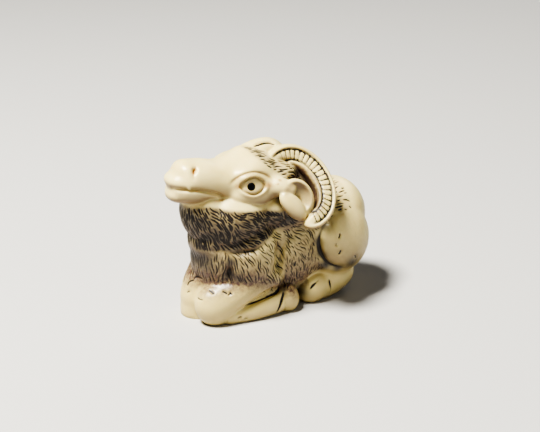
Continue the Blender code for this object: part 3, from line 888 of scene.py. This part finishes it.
# %% [markdown]
# A carver's tool slips now and then. Short nicks lie on the legs and the haunch, the far horn has
# one dark line over the head, and a few amber specks lie behind the eye. Each is only a place, a
# length and a direction, so they are listed, and one function cuts them all.

# %% The line on the far horn, and nicks in the legs and haunch
# A few amber specks lie behind the eye: (x, z, radius).
AMBER_SPECKS = [(-2.2, 31.7, 0.35), (-2.9, 31.1, 0.25), (-5.6, 30.6, 0.25)]
# The far horn shows one dark line over the head.
FAR_HORN_LINE = [(-3.9, 0.4, 36.8), (-1.8, 0.3, 37.4), (0.1, 0.2, 37.4), (1.6, -0.3, 36.8)]
NICK_HALF_WIDTH = 0.36
NICK_DEPTH = 0.2
# A nick bows by this share of its length.
NICK_BEND = 0.12
# Each nick is (x, z, length, direction in degrees, strength), and is cut on both sides.
NICKS = [
    (-20.3, 7.2, 2.2, 48, 0.7),
    (-20.7, 5.8, 1.2, 40, 0.5),
    (-19.0, 8.8, 1.4, 42, 0.6),
    (-18.0, 8.3, 0.7, -60, 1.0),
    (-15.9, 8.2, 1.0, -30, 0.8),
    (-15.1, 7.4, 0.8, 20, 0.5),
    (-14.6, 8.0, 0.7, -50, 0.8),
    (-13.0, 1.5, 1.2, 10, 0.5),
    (-11.4, 1.1, 0.9, -8, 0.4),
    (-6.8, 6.6, 1.4, -34, 0.5),
    (-4.6, 7.2, 1.8, -58, 0.8),
    (-4.2, 6.2, 1.2, -40, 0.8),
    (11.9, 17.4, 1.4, -112, 0.6),
    (12.0, 13.4, 1.3, -112, 0.8),
    (15.8, 11.2, 1.2, -60, 0.6),
    (10.9, 15.2, 0.8, -100, 0.4),
]


def nick_path(surface, x, z, length, degrees, side):
    turn = math.radians(degrees)
    along = (math.cos(turn), math.sin(turn))
    across = (-math.sin(turn), math.cos(turn))
    bend = NICK_BEND * length
    middle_x = x + along[0] * length / 2 + across[0] * bend
    middle_z = z + along[1] * length / 2 + across[1] * bend
    corners = [(x, z), (middle_x, middle_z), (x + along[0] * length, z + along[1] * length)]
    return surface.path_on_side(corners, side, 8)


for side, _ in SIDES:
    for x, z, length, degrees, strength in NICKS:
        path = nick_path(surface, x, z, length, degrees, side)
        mark = groove(surface, path, NICK_HALF_WIDTH, NICK_DEPTH)
        ink = np.maximum(ink, strength * mark)
for side, _ in SIDES:
    for x, z, radius in AMBER_SPECKS:
        gap = np.linalg.norm(surface.points - surface.on_side(x, z, side)[0], axis=1)
        amber = np.maximum(amber, 0.8 * np.exp(-((gap / radius) ** 2)))
far_line = [smooth_curve(FAR_HORN_LINE, i / 20) for i in range(21)]
far_line = np.array([surface.tree.find_nearest(Vector(point))[0] for point in far_line])
ink = np.maximum(ink, groove(surface, far_line, 0.45, 0.5))
surface.write()
surface.read()
print("eyes and", len(NICKS), "nicks a side cut")

# %% [markdown]
# The fur is cut as short wavering strokes that follow the lie of the coat. A repeated texture
# would show its rows, so each stroke is grown on the skin itself: it starts where there is room,
# steps along the combing direction, and stops when it comes too close to another. A few guides
# on the side view say which way the coat runs, and everything between is blended from them.

# %% Where the coat grows and which way it lies
# Edges of the coat along the figure, as (x, height).
RUFF_TOP = [
    (-24.0, 27.0),
    (-21.2, 27.0),
    (-17.9, 27.4),
    (-13.3, 26.4),
    (-6.3, 25.5),
    (-2.0, 24.3),
    (6.0, 25.0),
]
LEG_TOP = [
    (-24.0, 9.5),
    (-18.7, 9.0),
    (-13.2, 9.4),
    (-10.6, 9.6),
    (-7.4, 9.2),
    (-3.5, 7.6),
    (0.6, 5.2),
    (9.0, 7.6),
]
RUFF_FOOT = [
    (-24.0, 17.4),
    (-18.3, 16.8),
    (-13.4, 17.2),
    (-9.1, 17.4),
    (-6.7, 18.3),
    (-1.4, 19.8),
    (6.0, 20.5),
]

# How far back the coat runs, as (height, x).
HAUNCH_EDGE = [
    (5.0, 10.5),
    (8.9, 9.4),
    (11.8, 7.6),
    (14.6, 7.1),
    (17.2, 7.4),
    (19.4, 9.0),
    (21.0, 11.5),
]

# How far forward the temple hair runs, as (height, x).
TEMPLE_EDGE = [(29.4, 0.6), (31.6, -0.8), (33.3, -2.7), (35.2, -4.7), (36.2, -5.8), (38.0, -6.6)]

# Each guide is (x, z, direction in degrees on the side view).
COMBING = [
    (-20.0, 22.0, -62),
    (-17.0, 24.5, -62),
    (-16.5, 20.0, -74),
    (-12.0, 24.0, -42),
    (-8.5, 22.0, -50),
    (-11.0, 19.0, -28),
    (-6.0, 19.5, -36),
    (-3.5, 24.0, -50),
    (-0.5, 22.0, -44),
    (-19.0, 14.0, -80),
    (-16.0, 13.0, -88),
    (-11.5, 13.0, -70),
    (-8.5, 13.0, -64),
    (-4.5, 16.5, -58),
    (-4.0, 12.0, -62),
    (-1.5, 10.0, -66),
    (3.0, 18.5, -34),
    (4.0, 14.0, -52),
    (2.5, 9.5, -68),
    (7.0, 14.0, -84),
    (6.0, 8.5, -112),
    (9.0, 24.0, 44),
    (14.0, 25.0, 36),
    (18.0, 21.0, -62),
    (13.0, 17.0, -70),
    (20.0, 14.0, -84),
    (14.0, 11.0, -80),
    (-5.5, 36.0, -14),
    (-1.0, 34.0, -16),
    (1.5, 31.5, -30),
]


def along_line(line, values):
    return np.interp(values, [p[0] for p in line], [p[1] for p in line])


def coat_direction(point):
    x, _, z = point
    total = np.zeros(2)
    for guide_x, guide_z, degrees in COMBING:
        weight = math.exp(-((guide_x - x) ** 2 + (guide_z - z) ** 2) / 12.0) + 1e-9
        turn = math.radians(degrees)
        total += weight * np.array((math.cos(turn), math.sin(turn)))
    angle = math.atan2(total[1], total[0])
    # A slow noise makes locks wander together, and a quicker one makes each stroke waver.
    angle += 0.75 * noise.noise(Vector(point) * 0.42) + 0.6 * noise.noise(Vector(point) * 1.2)
    return np.array((math.cos(angle), 0.0, math.sin(angle)))


# %% Which points belong to which part of the coat
def near_to(finder, corners, points, reach, margin=5.0):
    gaps = np.full(len(points), 9.0)
    nearest = np.zeros(len(points), int)
    low, high = corners.min(axis=0) - margin, corners.max(axis=0) + margin
    for i in np.flatnonzero(((points > low) & (points < high)).all(axis=1)):
        _, nearest[i], gaps[i] = finder.find(points[i])
    return gaps < reach, nearest, gaps


on_horn, nearest_horn, horn_gap = near_to(horn_lookup, horn_points, surface.points, 0.42)
on_ear, _, _ = near_to(ear_lookup, ear_points, surface.points, 0.45, 0.5)
ink = np.maximum(ink, np.where(on_horn, horn_stain[nearest_horn], 0.0))
x, y, z = surface.points.T
bare = on_horn | on_ear
under_ruff_top = z < along_line(RUFF_TOP, x)
front_of_haunch = x < along_line(HAUNCH_EDGE, z)
above_legs = z > along_line(LEG_TOP, x)
above_chest = z > along_line(RUFF_FOOT, x)
behind_shoulder = (x >= -0.5) & ~((x < 3.0) & above_chest)
coat = {
    "ruff": ~bare & under_ruff_top & above_chest & (x < 3.0),
    "chest": ~bare & ~above_chest & above_legs & (x < -0.5),
    "flank": ~bare & under_ruff_top & above_legs & front_of_haunch & behind_shoulder,
    "back": ~bare & (z > 21.5) & (x > 6.5) & (x < 17.0),
    "haunch": ~bare & ~front_of_haunch & (z > 7.5) & (z < 21.5),
    "temple": ~bare & (horn_gap < 5.0) & (z > 29.4) & (x > along_line(TEMPLE_EDGE, z)) & (x < 6.0),
}
for name, part in coat.items():
    print(name, "covers", int(part.sum()), "points")

# %% Grow the strokes
# Pitch, shortest and longest stroke in millimetres, how strongly it is cut, and its chance.
STROKES = {
    "ruff": (0.38, 2.4, 7.0, 1.0, 1.0),
    "chest": (0.48, 2.8, 7.5, 0.66, 1.0),
    "flank": (0.42, 1.6, 4.6, 0.6, 1.0),
    "back": (0.7, 1.2, 3.4, 0.75, 0.8),
    "haunch": (0.8, 1.6, 4.2, 0.2, 0.8),
    "temple": (0.5, 1.6, 3.8, 0.8, 1.0),
}
# A growing stroke may come this share of the pitch near to another.
GROWING_ROOM = 0.66
STEP = 0.2
SEED = 11


class Comb:
    def __init__(self, surface, pitch):
        self.surface = surface
        self.pitch = pitch
        self.cells = {}

    def cell(self, point):
        return tuple(int(math.floor(v / self.pitch)) for v in point)

    def room(self, point, gap):
        a, b, c = self.cell(point)
        x, y, z = point
        for i in (a - 1, a, a + 1):
            for j in (b - 1, b, b + 1):
                for k in (c - 1, c, c + 1):
                    for p, q, r in self.cells.get((i, j, k), ()):
                        if (x - p) ** 2 + (y - q) ** 2 + (z - r) ** 2 < gap**2:
                            return False
        return True

    def grow(self, start, length, inside):
        path = [start]
        while (len(path) - 1) * STEP < length:
            _, normal, _, _ = self.surface.tree.find_nearest(Vector(path[-1]))
            flow = Vector(coat_direction(path[-1]))
            flow -= normal * flow.dot(normal)
            if flow.length < 0.05:
                break
            ahead = Vector(path[-1]) + flow.normalized() * STEP
            there, _, face, _ = self.surface.tree.find_nearest(ahead)
            point = np.array(there)
            in_coat = inside[self.surface.faces[face][0]]
            if not in_coat or not self.room(point, self.pitch * GROWING_ROOM):
                break
            path.append(point)
        return path

    def keep(self, path):
        for point in path:
            self.cells.setdefault(self.cell(point), []).append(point)


def comb_area(surface, inside, pitch, shortest, longest, strength, chance, draw):
    comb = Comb(surface, pitch)
    strokes = []
    for start in draw.permutation(np.flatnonzero(inside))[::2]:
        length = draw.uniform(shortest, longest)
        if draw.random() > chance or not comb.room(surface.points[start], pitch):
            continue
        path = comb.grow(surface.points[start], length, inside)
        if (len(path) - 1) * STEP < 0.6 * shortest:
            continue
        comb.keep(path)
        strokes.append((np.array(path), strength * draw.uniform(0.65, 1.0)))
    return strokes


draw = np.random.default_rng(SEED)
strokes = []
for name, part in coat.items():
    added = comb_area(surface, part, *STROKES[name], draw)
    print(name, "has", len(added), "strokes")
    strokes += added

# %% [markdown]
# All strokes become one object of loose edges, each point carrying how deep it cuts, and a tree
# in Geometry Nodes engraves them: every point of the skin looks for the nearest stroke, sinks by
# a rounded V, and keeps how near it was for the stain. This follows the paths wherever they run.


# %% Engrave the strokes
def stroke_object(strokes):
    points, edges, cuts = [], [], []
    for path, strength in strokes:
        count = len(path)
        first = len(points)
        points += path.tolist()
        edges += [(first + i, first + i + 1) for i in range(count - 1)]
        taper = np.sin(np.linspace(0.12, math.pi - 0.12, count)) ** 0.5
        cuts += (strength * taper).tolist()
    mesh = bpy.data.meshes.new("hair strokes")
    mesh.from_pydata(points, edges, [])
    mesh.attributes.new("cut", "FLOAT", "POINT").data.foreach_set("value", cuts)
    return link_mesh("hair strokes", mesh)


def engraving_tree():
    sockets = {
        "Strokes": "NodeSocketObject",
        "Stroke Depth": "NodeSocketFloat",
        "Stroke Half Width": "NodeSocketFloat",
    }
    tree, given = new_shape_tree("engraved hair", sockets)
    source = add_node(tree, "GeometryNodeObjectInfo", {"Object": given["Strokes"]})
    lines = source.outputs["Geometry"]
    to_line = add_node(tree, "GeometryNodeProximity", {0: lines}, target_element="EDGES")
    gap = to_line.outputs["Distance"]
    inputs = {"Geometry": lines}
    nearest = add_node(tree, "GeometryNodeSampleNearest", inputs, domain="POINT").outputs[0]
    inputs = {"Geometry": lines, "Value": named_value(tree, "cut"), "Index": nearest}
    kind = "GeometryNodeSampleIndex"
    strength = add_node(tree, kind, inputs, data_type="FLOAT", domain="POINT").outputs[0]
    valley = product(tree, hill(tree, gap, 0.0, given["Stroke Half Width"]), strength)
    depth = product(tree, valley, given["Stroke Depth"], -1.0)
    kept = keep_value(tree, given["Geometry"], "stroke", valley)
    normal = add_node(tree, "GeometryNodeInputNormal").outputs[0]
    end_tree(tree, moved(tree, kept, normal, depth), resin)
    return tree


STROKE_DEPTH = 0.26
STROKE_HALF_WIDTH = 0.19

hair = stroke_object(strokes)
engraving = {
    "Strokes": hair,
    "Stroke Depth": STROKE_DEPTH,
    "Stroke Half Width": STROKE_HALF_WIDTH,
}
figure = run_tree(figure, engraving_tree(), engraving)
bpy.data.objects.remove(hair, do_unlink=True)
print(len(strokes), "strokes engraved")

# %% [markdown]
# The stain. It was wiped on and wiped off, so what is left depends on the shape: a cut holds
# nearly black, a hollow holds a purplish brown, and a high place is clean. Closed-in hollows also
# get painted shade and shadow. How hollow a place is can be measured by smoothing the skin away
# and seeing how far each point sank below it.

# %% Measure the hollows
surface = Surface(figure)
stroke = np.array([v.value for v in figure.data.attributes["stroke"].data])
edges = np.empty(len(figure.data.edges) * 2, int)
figure.data.edges.foreach_get("vertices", edges)
edges = edges.reshape(-1, 2)


def spread_once(values):
    count = len(values)
    one, other = edges[:, 0], edges[:, 1]
    total = np.bincount(one, values[other], count) + np.bincount(other, values[one], count)
    return total / np.maximum(np.bincount(edges.ravel(), minlength=count), 1)


def blurred(values, times):
    for _ in range(times):
        values = 0.5 * values + 0.5 * spread_once(values)
    return values


def hollowness(times, full_depth):
    smooth = np.column_stack([blurred(surface.points[:, i], times) for i in range(3)])
    sunk = ((smooth - surface.points) * surface.normals).sum(axis=1)
    return np.clip(sunk / full_depth, -1.0, 1.0)


fine_hollow = hollowness(6, 0.05)
broad_hollow = hollowness(90, 0.5)
print("hollow points:", int((broad_hollow > 0.3).sum()))

# %% [markdown]
# Little of the open air reaches under the ear, between the knees or behind the horn. Rays sent out
# from a sample of points say what share of the open air each one sees, and the rest are filled
# in from their neighbours. Where little is open, the colour is darkened: partly the stain held
# there, partly painted shade, and near-black painted shadow in the deepest hollows.

# %% Measure how closed in each place is
COVER_STRIDE = 18
COVER_REACH = 9.0
COVER_RAYS = 40


def sphere_directions(count):
    turns = np.arange(count) * math.pi * (3.0 - math.sqrt(5.0))
    rises = 1.0 - 2.0 * (np.arange(count) + 0.5) / count
    flat = np.sqrt(1.0 - rises**2)
    return np.column_stack([flat * np.cos(turns), flat * np.sin(turns), rises])


def covered_share(point, normal, directions):
    facing = directions @ normal
    blocked, total = 0.0, 0.0
    start = Vector(point + normal * 0.2)
    for direction, weight in zip(directions[facing > 0.1], facing[facing > 0.1]):
        total += weight
        if surface.tree.ray_cast(start, Vector(direction), COVER_REACH)[0] is not None:
            blocked += weight
    return blocked / total


def measure_cover():
    directions = sphere_directions(COVER_RAYS)
    known = np.zeros(len(surface.points))
    values = np.zeros(len(surface.points))
    for i in range(0, len(surface.points), COVER_STRIDE):
        known[i] = 1.0
        values[i] = covered_share(surface.points[i], surface.normals[i], directions)
    return blurred(values, 24) / np.maximum(blurred(known, 24), 1e-6)


cover = measure_cover()
print("covered share, middle:", round(float(np.median(cover)), 2))
print("covered share, most:", round(float(cover.max()), 2))

# %% Where the stain lies thick
# Places on the side view where the maker left it thickest: (x, z, reach, strength).
RUFF_STAIN = 0.5
THICK_STAIN = [
    (-19.6, 24.0, 2.5, 1.0),
    (-20.3, 21.4, 1.6, 0.7),
    (-18.0, 20.4, 2.0, 1.0),
    (-15.4, 20.6, 2.2, 1.0),
    (-12.3, 18.8, 2.0, 1.0),
    (-9.6, 18.8, 1.4, 0.7),
    (-2.6, 24.4, 1.8, 0.7),
    (0.7, 21.8, 1.5, 1.0),
    (-18.8, 14.4, 2.8, 0.95),
    (-13.6, 14.8, 1.3, 0.8),
    (-13.4, 11.4, 1.6, 0.9),
    (8.8, 19.0, 1.7, 0.9),
    (7.6, 15.4, 1.1, 0.6),
    (8.4, 12.0, 1.0, 0.7),
    (9.8, 9.2, 1.4, 1.0),
    (12.6, 8.2, 1.5, 0.9),
    (15.6, 9.2, 2.2, 0.85),
    (4.4, 3.2, 1.5, 0.8),
]


def rise(values, start, end):
    return np.clip((values - start) / (end - start), 0.0, 1.0)


x, y, z = surface.points.T
clean = rise(-fine_hollow, 0.2, 1.0)
thick = np.zeros(len(surface.points))
for place_x, place_z, reach, strength in THICK_STAIN:
    from_place = (x - place_x) ** 2 + (z - place_z) ** 2
    thick = np.maximum(thick, strength * np.exp(-from_place / reach**2))
thick = np.maximum(thick, RUFF_STAIN * blurred(coat["ruff"].astype(float), 12))
thick *= blurred((~bare & under_ruff_top).astype(float), 8)
print("thick stain on", int((thick > 0.5).sum()), "points")

# %% [markdown]
# The thin wash lies wherever hair is carved, and is laid more thickly into closed-in places,
# along the top of the folded forelegs, behind the horn and into the bowls of the ears. In the
# closed-in places and the ear bowls part of this darkening is painted shade.

# %% The thin wash
# The chest is darkest in front and nearly clean at the shoulder. The flank is darkest low down.
WASH_SHARES = {
    "ruff": 1.0,
    "chest": np.interp(x, (-18.0, -9.0, -3.0), (1.0, 0.75, 0.15)),
    "flank": np.interp(z, (9.0, 17.0), (1.0, 0.6)),
    "back": 0.35,
    "haunch": 0.12,
    "temple": 0.6,
}
LEG_TOP_REACH = 2.2

in_coat = np.zeros(len(surface.points))
for name, share in WASH_SHARES.items():
    in_coat = np.maximum(in_coat, share * coat[name])
in_coat = blurred(in_coat, 12)
from_leg_top = (z - along_line(LEG_TOP, x)) / LEG_TOP_REACH
leg_top = np.exp(-(from_leg_top**2)) * (x < 6.0) * (y**2 < 110.0)
behind_horn = rise(-horn_gap, -1.8, -0.5) * ~on_horn * (x > 4.0) * (z < 30.0)
# Where little open air is seen the wash is darker: stain and painted shade together.
wash = in_coat * (0.70 + 0.4 * cover) + 0.6 * rise(cover, 0.4, 0.8) + 0.85 * leg_top * ~bare
wash += 0.3 * blurred(behind_horn, 6)

# Each ear's bowl gets some wash here and, in the shade layer below, painted shade.
bowl = np.zeros(len(surface.points))
for side, into_bowl in ear_bowls:
    inside = np.c_[surface.points, np.ones(len(surface.points))] @ np.array(into_bowl).T
    in_bowl = rise(-np.linalg.norm(inside[:, :3], axis=1), -1.12, -0.95)
    off_lobe = np.maximum(rise(side * inside[:, 0], -0.15, 0.35), rise(inside[:, 2], 0.35, 0.7))
    bowl = np.maximum(bowl, in_bowl * off_lobe)
wash += 0.35 * bowl
wash = np.clip(wash, 0.0, 1.0) * (1.0 - 0.25 * clean)
print("wash on", int((wash > 0.3).sum()), "points")

# %% Inside the curl of each horn
# The narrow space beside the horn is darkened, and the inner band is brown with wash.
from_horn_middle = np.hypot(x - HORN_CENTRE[0], z - HORN_CENTRE[1])
curl_edge = HORN_WIDTH - HORN_RADIUS
inner_band = on_horn * rise(-from_horn_middle, 3.5 - HORN_RADIUS, 4.2 - HORN_RADIUS)
in_curl = rise(-from_horn_middle, curl_edge - 1.0, curl_edge - 0.2)
beside_horn = in_curl * (horn_gap < 0.9) * ~on_ear * (from_horn_middle > 2.0)
beside_horn = blurred(beside_horn * (z > 22.5), 4)
wash = np.clip(wash + 0.6 * blurred(inner_band, 4), 0.0, 1.0)

# %% Keep the layers of stain and painted shade on the skin
# Near-black painted shadow in the deepest, most closed-in hollows, laid into the line layer.
deep = rise(cover, 0.70, 0.88) * rise(broad_hollow, 0.05, 0.5)
# The shade layer is painted shade on faces that turn down, in closed-in places and in the ear
# bowls, with the eyeball tinted yellower as well.
under = rise(-surface.normals[:, 2], -0.2, 0.35) * (0.45 + 0.55 * rise(z, 6.0, 13.0))
covered = rise(cover, 0.3, 0.8) * rise(z, 5.0, 12.0) * (1.0 - 0.7 * behind_horn)
shade = blurred(under, 10) + 0.45 * covered + 0.3 * eye_yellow + 0.5 * bowl
layers = {
    "line": np.maximum.reduce([ink, stroke, deep, 0.2 * beside_horn]),
    "wash": wash,
    "thick": np.maximum(thick * (1.0 - 0.25 * clean), 0.6 * beside_horn),
    "shade": shade,
    "amber": amber,
}
for name, values in layers.items():
    values = np.clip(values, 0.0, 1.0)
    figure.data.attributes.new(name, "FLOAT", "POINT").data.foreach_set("value", values)
    print(name, "mean", round(float(values.mean()), 3))
figure.data.attributes.remove(figure.data.attributes["stroke"])
surface.write()

# %% [markdown]
# The master is flat below, where the casting was rubbed down. A block takes that off. The skin
# is then thinned to what a shared part can carry: flat stretches lose points, cuts keep theirs.

# %% Flat underside, thinned skin, real size
MOST_TRIANGLES = 194000


def cut_underside(item):
    bm = bmesh.new()
    bm.from_mesh(item.data)
    everything = bm.verts[:] + bm.edges[:] + bm.faces[:]
    down = (0, 0, -1)
    bmesh.ops.bisect_plane(bm, geom=everything, plane_co=(0, 0, 0), plane_no=down, clear_outer=True)
    rim = [edge for edge in bm.edges if edge.is_boundary]
    bmesh.ops.contextual_create(bm, geom=rim)
    bmesh.ops.triangulate(bm, faces=[face for face in bm.faces if len(face.verts) > 4])
    bm.to_mesh(item.data)
    bm.free()
    return item


def thin_out(item, triangles):
    item.data.calc_loop_triangles()
    thin = item.modifiers.new("thin out", "DECIMATE")
    thin.ratio = min(1.0, triangles / len(item.data.loop_triangles))
    return replace_with([item], item.name, evaluated_mesh(item))


figure = thin_out(cut_underside(figure), MOST_TRIANGLES)
solid_low, solid_high = (Vector(corner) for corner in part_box("ram"))
corners = points_of(figure)
low, high = corners.min(axis=0), corners.max(axis=0)
scale = (solid_high.x - solid_low.x) / (high[0] - low[0])
shift = Vector(((solid_low.x + solid_high.x) / 2, (solid_low.y + solid_high.y) / 2, solid_low.z))
middle = (low + high) / 2
to_middle = Matrix.Translation((-middle[0], -middle[1], 0.0))
to_part = Matrix.Translation(shift) @ Matrix.Diagonal((scale, scale, scale, 1.0)) @ to_middle
figure.data.transform(to_part)
figure.name = "ram_casting"
for face in figure.data.polygons:
    face.use_smooth = True
print("casting:", len(figure.data.polygons), "faces, scale", round(scale, 6))

# %% [markdown]
# The finish is a polished cast polyester resin, filled and tinted to look like old ivory. Light
# goes a little way into it, so thin parts glow and shadows are warm. Its high places are cream,
# and it is yellower towards the bottom. A yellow-brown painted shade darkens the faces that turn
# down, the closed-in places and the bowls of the ears. The stain lies over that: a thin purplish
# brown wash, near-black umber in the cuts, and amber at the nostrils and the corners of the eyes.


# %% Colours
def linear(hex_colour):
    values = [int(hex_colour[i : i + 2], 16) / 255 for i in (1, 3, 5)]
    lit = [v / 12.92 if v <= 0.04045 else ((v + 0.055) / 1.055) ** 2.4 for v in values]
    return (*lit, 1.0)


IVORY = linear("#F2E1A2")
OLD_IVORY = linear("#D6C27C")
PAINTED_SHADE_IVORY = linear("#6F5234")
WASH = linear("#5E4038")
THICK_WASH = linear("#231916")
UMBER = linear("#1C100B")
AMBER = linear("#9C6A2C")
BLACK = linear("#050505")


def mixed(tree, factor, first, second):
    # These are the Mix node's sockets for a factor and two colours.
    inputs = {0: factor, 6: first, 7: second}
    node = add_node(tree, "ShaderNodeMix", inputs, data_type="RGBA")
    return node.outputs[2]


# %% Helpers for the resin
# Noise scales are per metre: 1 / 160 is patches of about 6 mm, 1 / 1500 mottling of about 0.7 mm,
# 1 / 900 wear of about 1 mm, and 1 / 6000 is the fine tooth that polishing leaves.
PATCH_SCALE = 160.0
WEAR_SCALE = 900.0
MOTTLE_SCALE = 1500.0
TOOTH_SCALE = 6000.0

resin.use_nodes = True
nodes = resin.node_tree
shader = nodes.nodes["Principled BSDF"]
place = add_node(nodes, "ShaderNodeTexCoord").outputs["Object"]


def speckle(scale, detail=2.0, roughness=0.5):
    inputs = {"Vector": place, "Scale": scale, "Detail": detail, "Roughness": roughness}
    return add_node(nodes, "ShaderNodeTexNoise", inputs).outputs["Fac"]


def layer(name):
    return add_node(nodes, "ShaderNodeAttribute", attribute_name=name).outputs["Fac"]


def ramp(value, start, end, low=0.0, high=1.0):
    inputs = {"Value": value, "From Min": start, "From Max": end, "To Min": low, "To Max": high}
    return add_node(nodes, "ShaderNodeMapRange", inputs).outputs[0]


# %% Ivory, painted shade, wash and umber, one over the other
patches = ramp(speckle(PATCH_SCALE), 0.35, 0.7)
mottling = ramp(speckle(MOTTLE_SCALE, 4.0, 0.6), 0.3, 0.7, 0.55, 1.15)
height = add_node(nodes, "ShaderNodeSeparateXYZ", {"Vector": place}).outputs["Z"]
low_down = ramp(height, 0.022, 0.004, 0.0, 0.5)
base = mixed(nodes, math_node(nodes, "MULTIPLY", patches, 0.5), IVORY, OLD_IVORY)
base = mixed(nodes, low_down, base, OLD_IVORY)
# Painted shade: a dark yellow-brown over faces that turn down and over closed-in places.
base = mixed(nodes, math_node(nodes, "MULTIPLY", layer("shade"), 0.9), base, PAINTED_SHADE_IVORY)
washed = math_node(nodes, "MULTIPLY", layer("wash"), mottling)
base = mixed(nodes, washed, base, WASH)
base = mixed(nodes, layer("thick"), base, THICK_WASH)
base = mixed(nodes, ramp(layer("amber"), 0.1, 0.9), base, AMBER)
lines = ramp(layer("line"), 0.14, 0.46)
base = mixed(nodes, lines, base, UMBER)
# Of the layers kept on the skin, the shade layer is painted shade.
print("layers of colour:", len(layers), "from the stain and 2 of ivory")

# %% Painted pupils
# The pupils are painted on, so each is a clean disc about its own centre.
painted = 0.0
outer, inner = (PUPIL_RADIUS + PUPIL_EDGE) * scale, (PUPIL_RADIUS - PUPIL_EDGE) * scale
for pupil in pupils:
    ends = {0: place, 1: to_part @ Vector(pupil)}
    gap = add_node(nodes, "ShaderNodeVectorMath", ends, operation="DISTANCE").outputs["Value"]
    painted = math_node(nodes, "ADD", painted, ramp(gap, outer, inner))
base = mixed(nodes, painted, base, BLACK)
nodes.links.new(base, shader.inputs["Base Color"])
print("pupils painted:", len(pupils))

# %% Gloss and depth
# The gloss varies a little at random, the stain in the cuts is duller, and the paint a little
# shinier.
rough = ramp(speckle(WEAR_SCALE, 3.0), 0.3, 0.7, 0.34, 0.46)
rough = math_node(nodes, "ADD", rough, math_node(nodes, "MULTIPLY", lines, 0.25))
rough = math_node(nodes, "SUBTRACT", rough, math_node(nodes, "MULTIPLY", painted, 0.08))
nodes.links.new(rough, shader.inputs["Roughness"])
tooth = {"Height": speckle(TOOTH_SCALE, 2.0), "Strength": 0.08, "Distance": 0.0001}
nodes.links.new(add_node(nodes, "ShaderNodeBump", tooth).outputs[0], shader.inputs["Normal"])
RESIN = {
    "IOR": 1.52,
    "Subsurface Weight": 0.35,
    "Subsurface Radius": (1.0, 0.72, 0.40),
    "Subsurface Scale": 0.0012,
    "Coat Weight": 0.12,
    "Coat Roughness": 0.3,
}
for socket, value in RESIN.items():
    shader.inputs[socket].default_value = value
figure.data.materials.clear()
figure.data.materials.append(resin)
print("resin made with", len(nodes.nodes), "nodes")

# %% [markdown]
# The casting stands for the solid ram and rides on the part's one body.
# The values that only served to shape the horns are dropped from it first.

# %% Hand the casting over
for name in ("from edge", "along", "facing", "front", "stain"):
    if name in figure.data.attributes:
        figure.data.attributes.remove(figure.data.attributes[name])
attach(figure, "root")
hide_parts("ram")
print("handed over:", figure.name)

# %% [markdown]
# A plain pale floor and soft studio light. The main light is broad and comes from above and from
# before the ram's face, as the bright top of its head and horns shows. A weak one fills the side
# that the camera sees, a weaker one touches the back, and the air itself is nearly dark, so that
# the stain keeps its depth.

# %% Floor and lights
FLOOR_SIZE = 3.0
LIGHT_AIM = (0.0, 0.0, 0.02)
# Each light is its place and its width in metres, its power in watts and its colour.
LIGHTS = {
    "key": ((-0.23, 0.0, 0.52), 0.15, 8.0, "#FFFDF6"),
    "fill": ((0.30, -0.45, 0.22), 0.40, 0.36, "#F2F5FF"),
    "rim": ((0.42, 0.28, 0.30), 0.25, 0.3, "#FFFFFF"),
}
AIR_COLOUR = "#E6E8EE"
AIR_STRENGTH = 0.06


def pale_floor():
    bm = bmesh.new()
    bmesh.ops.create_grid(bm, x_segments=1, y_segments=1, size=FLOOR_SIZE / 2)
    floor = link_mesh("floor", mesh_from_bmesh("floor", bm))
    paper = bpy.data.materials.new("matt paper backdrop")
    paper.use_nodes = True
    paper_shader = paper.node_tree.nodes["Principled BSDF"]
    paper_shader.inputs["Base Color"].default_value = linear("#C8C6C2")
    paper_shader.inputs["Roughness"].default_value = 0.9
    floor.data.materials.append(paper)


def soft_light(name, place, size, power, colour):
    lamp = bpy.data.lights.new(name, "AREA")
    lamp.shape = "DISK"
    lamp.size = size
    lamp.energy = power
    lamp.color = linear(colour)[:3]
    item = bpy.data.objects.new(name, lamp)
    bpy.context.collection.objects.link(item)
    item.location = place
    item.rotation_euler = (Vector(place) - Vector(LIGHT_AIM)).to_track_quat("Z", "Y").to_euler()


pale_floor()
for name, light in LIGHTS.items():
    soft_light(name, *light)
world = bpy.data.worlds.new("studio")
bpy.context.scene.world = world
world.use_nodes = True
air = world.node_tree.nodes["Background"].inputs
air["Color"].default_value = linear(AIR_COLOUR)
air["Strength"].default_value = AIR_STRENGTH
print("lights:", ", ".join(LIGHTS))

# %% [markdown]
# The camera looks from the figure's left, a little towards its face and about 22 degrees down.
# Blender's usual view is soft and greys the stain, so its look with more contrast is chosen.

# %% Camera
CAMERA_TURN_DEG = -30.0
CAMERA_RISE_DEG = 22.0
CAMERA_DISTANCE = 0.300
CAMERA_AIM = Vector((0.00081, 0.0, 0.020))
LENS_MM = 90.0
SENSOR_MM = 36.0
NEAREST = 0.01

turn, climb = math.radians(CAMERA_TURN_DEG), math.radians(CAMERA_RISE_DEG)
level = math.cos(climb)
back = Vector((math.sin(turn) * level, -math.cos(turn) * level, math.sin(climb)))
lens = bpy.data.cameras.new("camera")
lens.lens = LENS_MM
lens.sensor_width = SENSOR_MM
lens.clip_start = NEAREST
camera = bpy.data.objects.new("camera", lens)
bpy.context.collection.objects.link(camera)
camera.location = CAMERA_AIM + back * CAMERA_DISTANCE
camera.rotation_euler = back.to_track_quat("Z", "Y").to_euler()
bpy.context.scene.camera = camera
bpy.context.scene.view_settings.look = "AgX - High Contrast"
print("camera at", [round(v, 3) for v in camera.location])
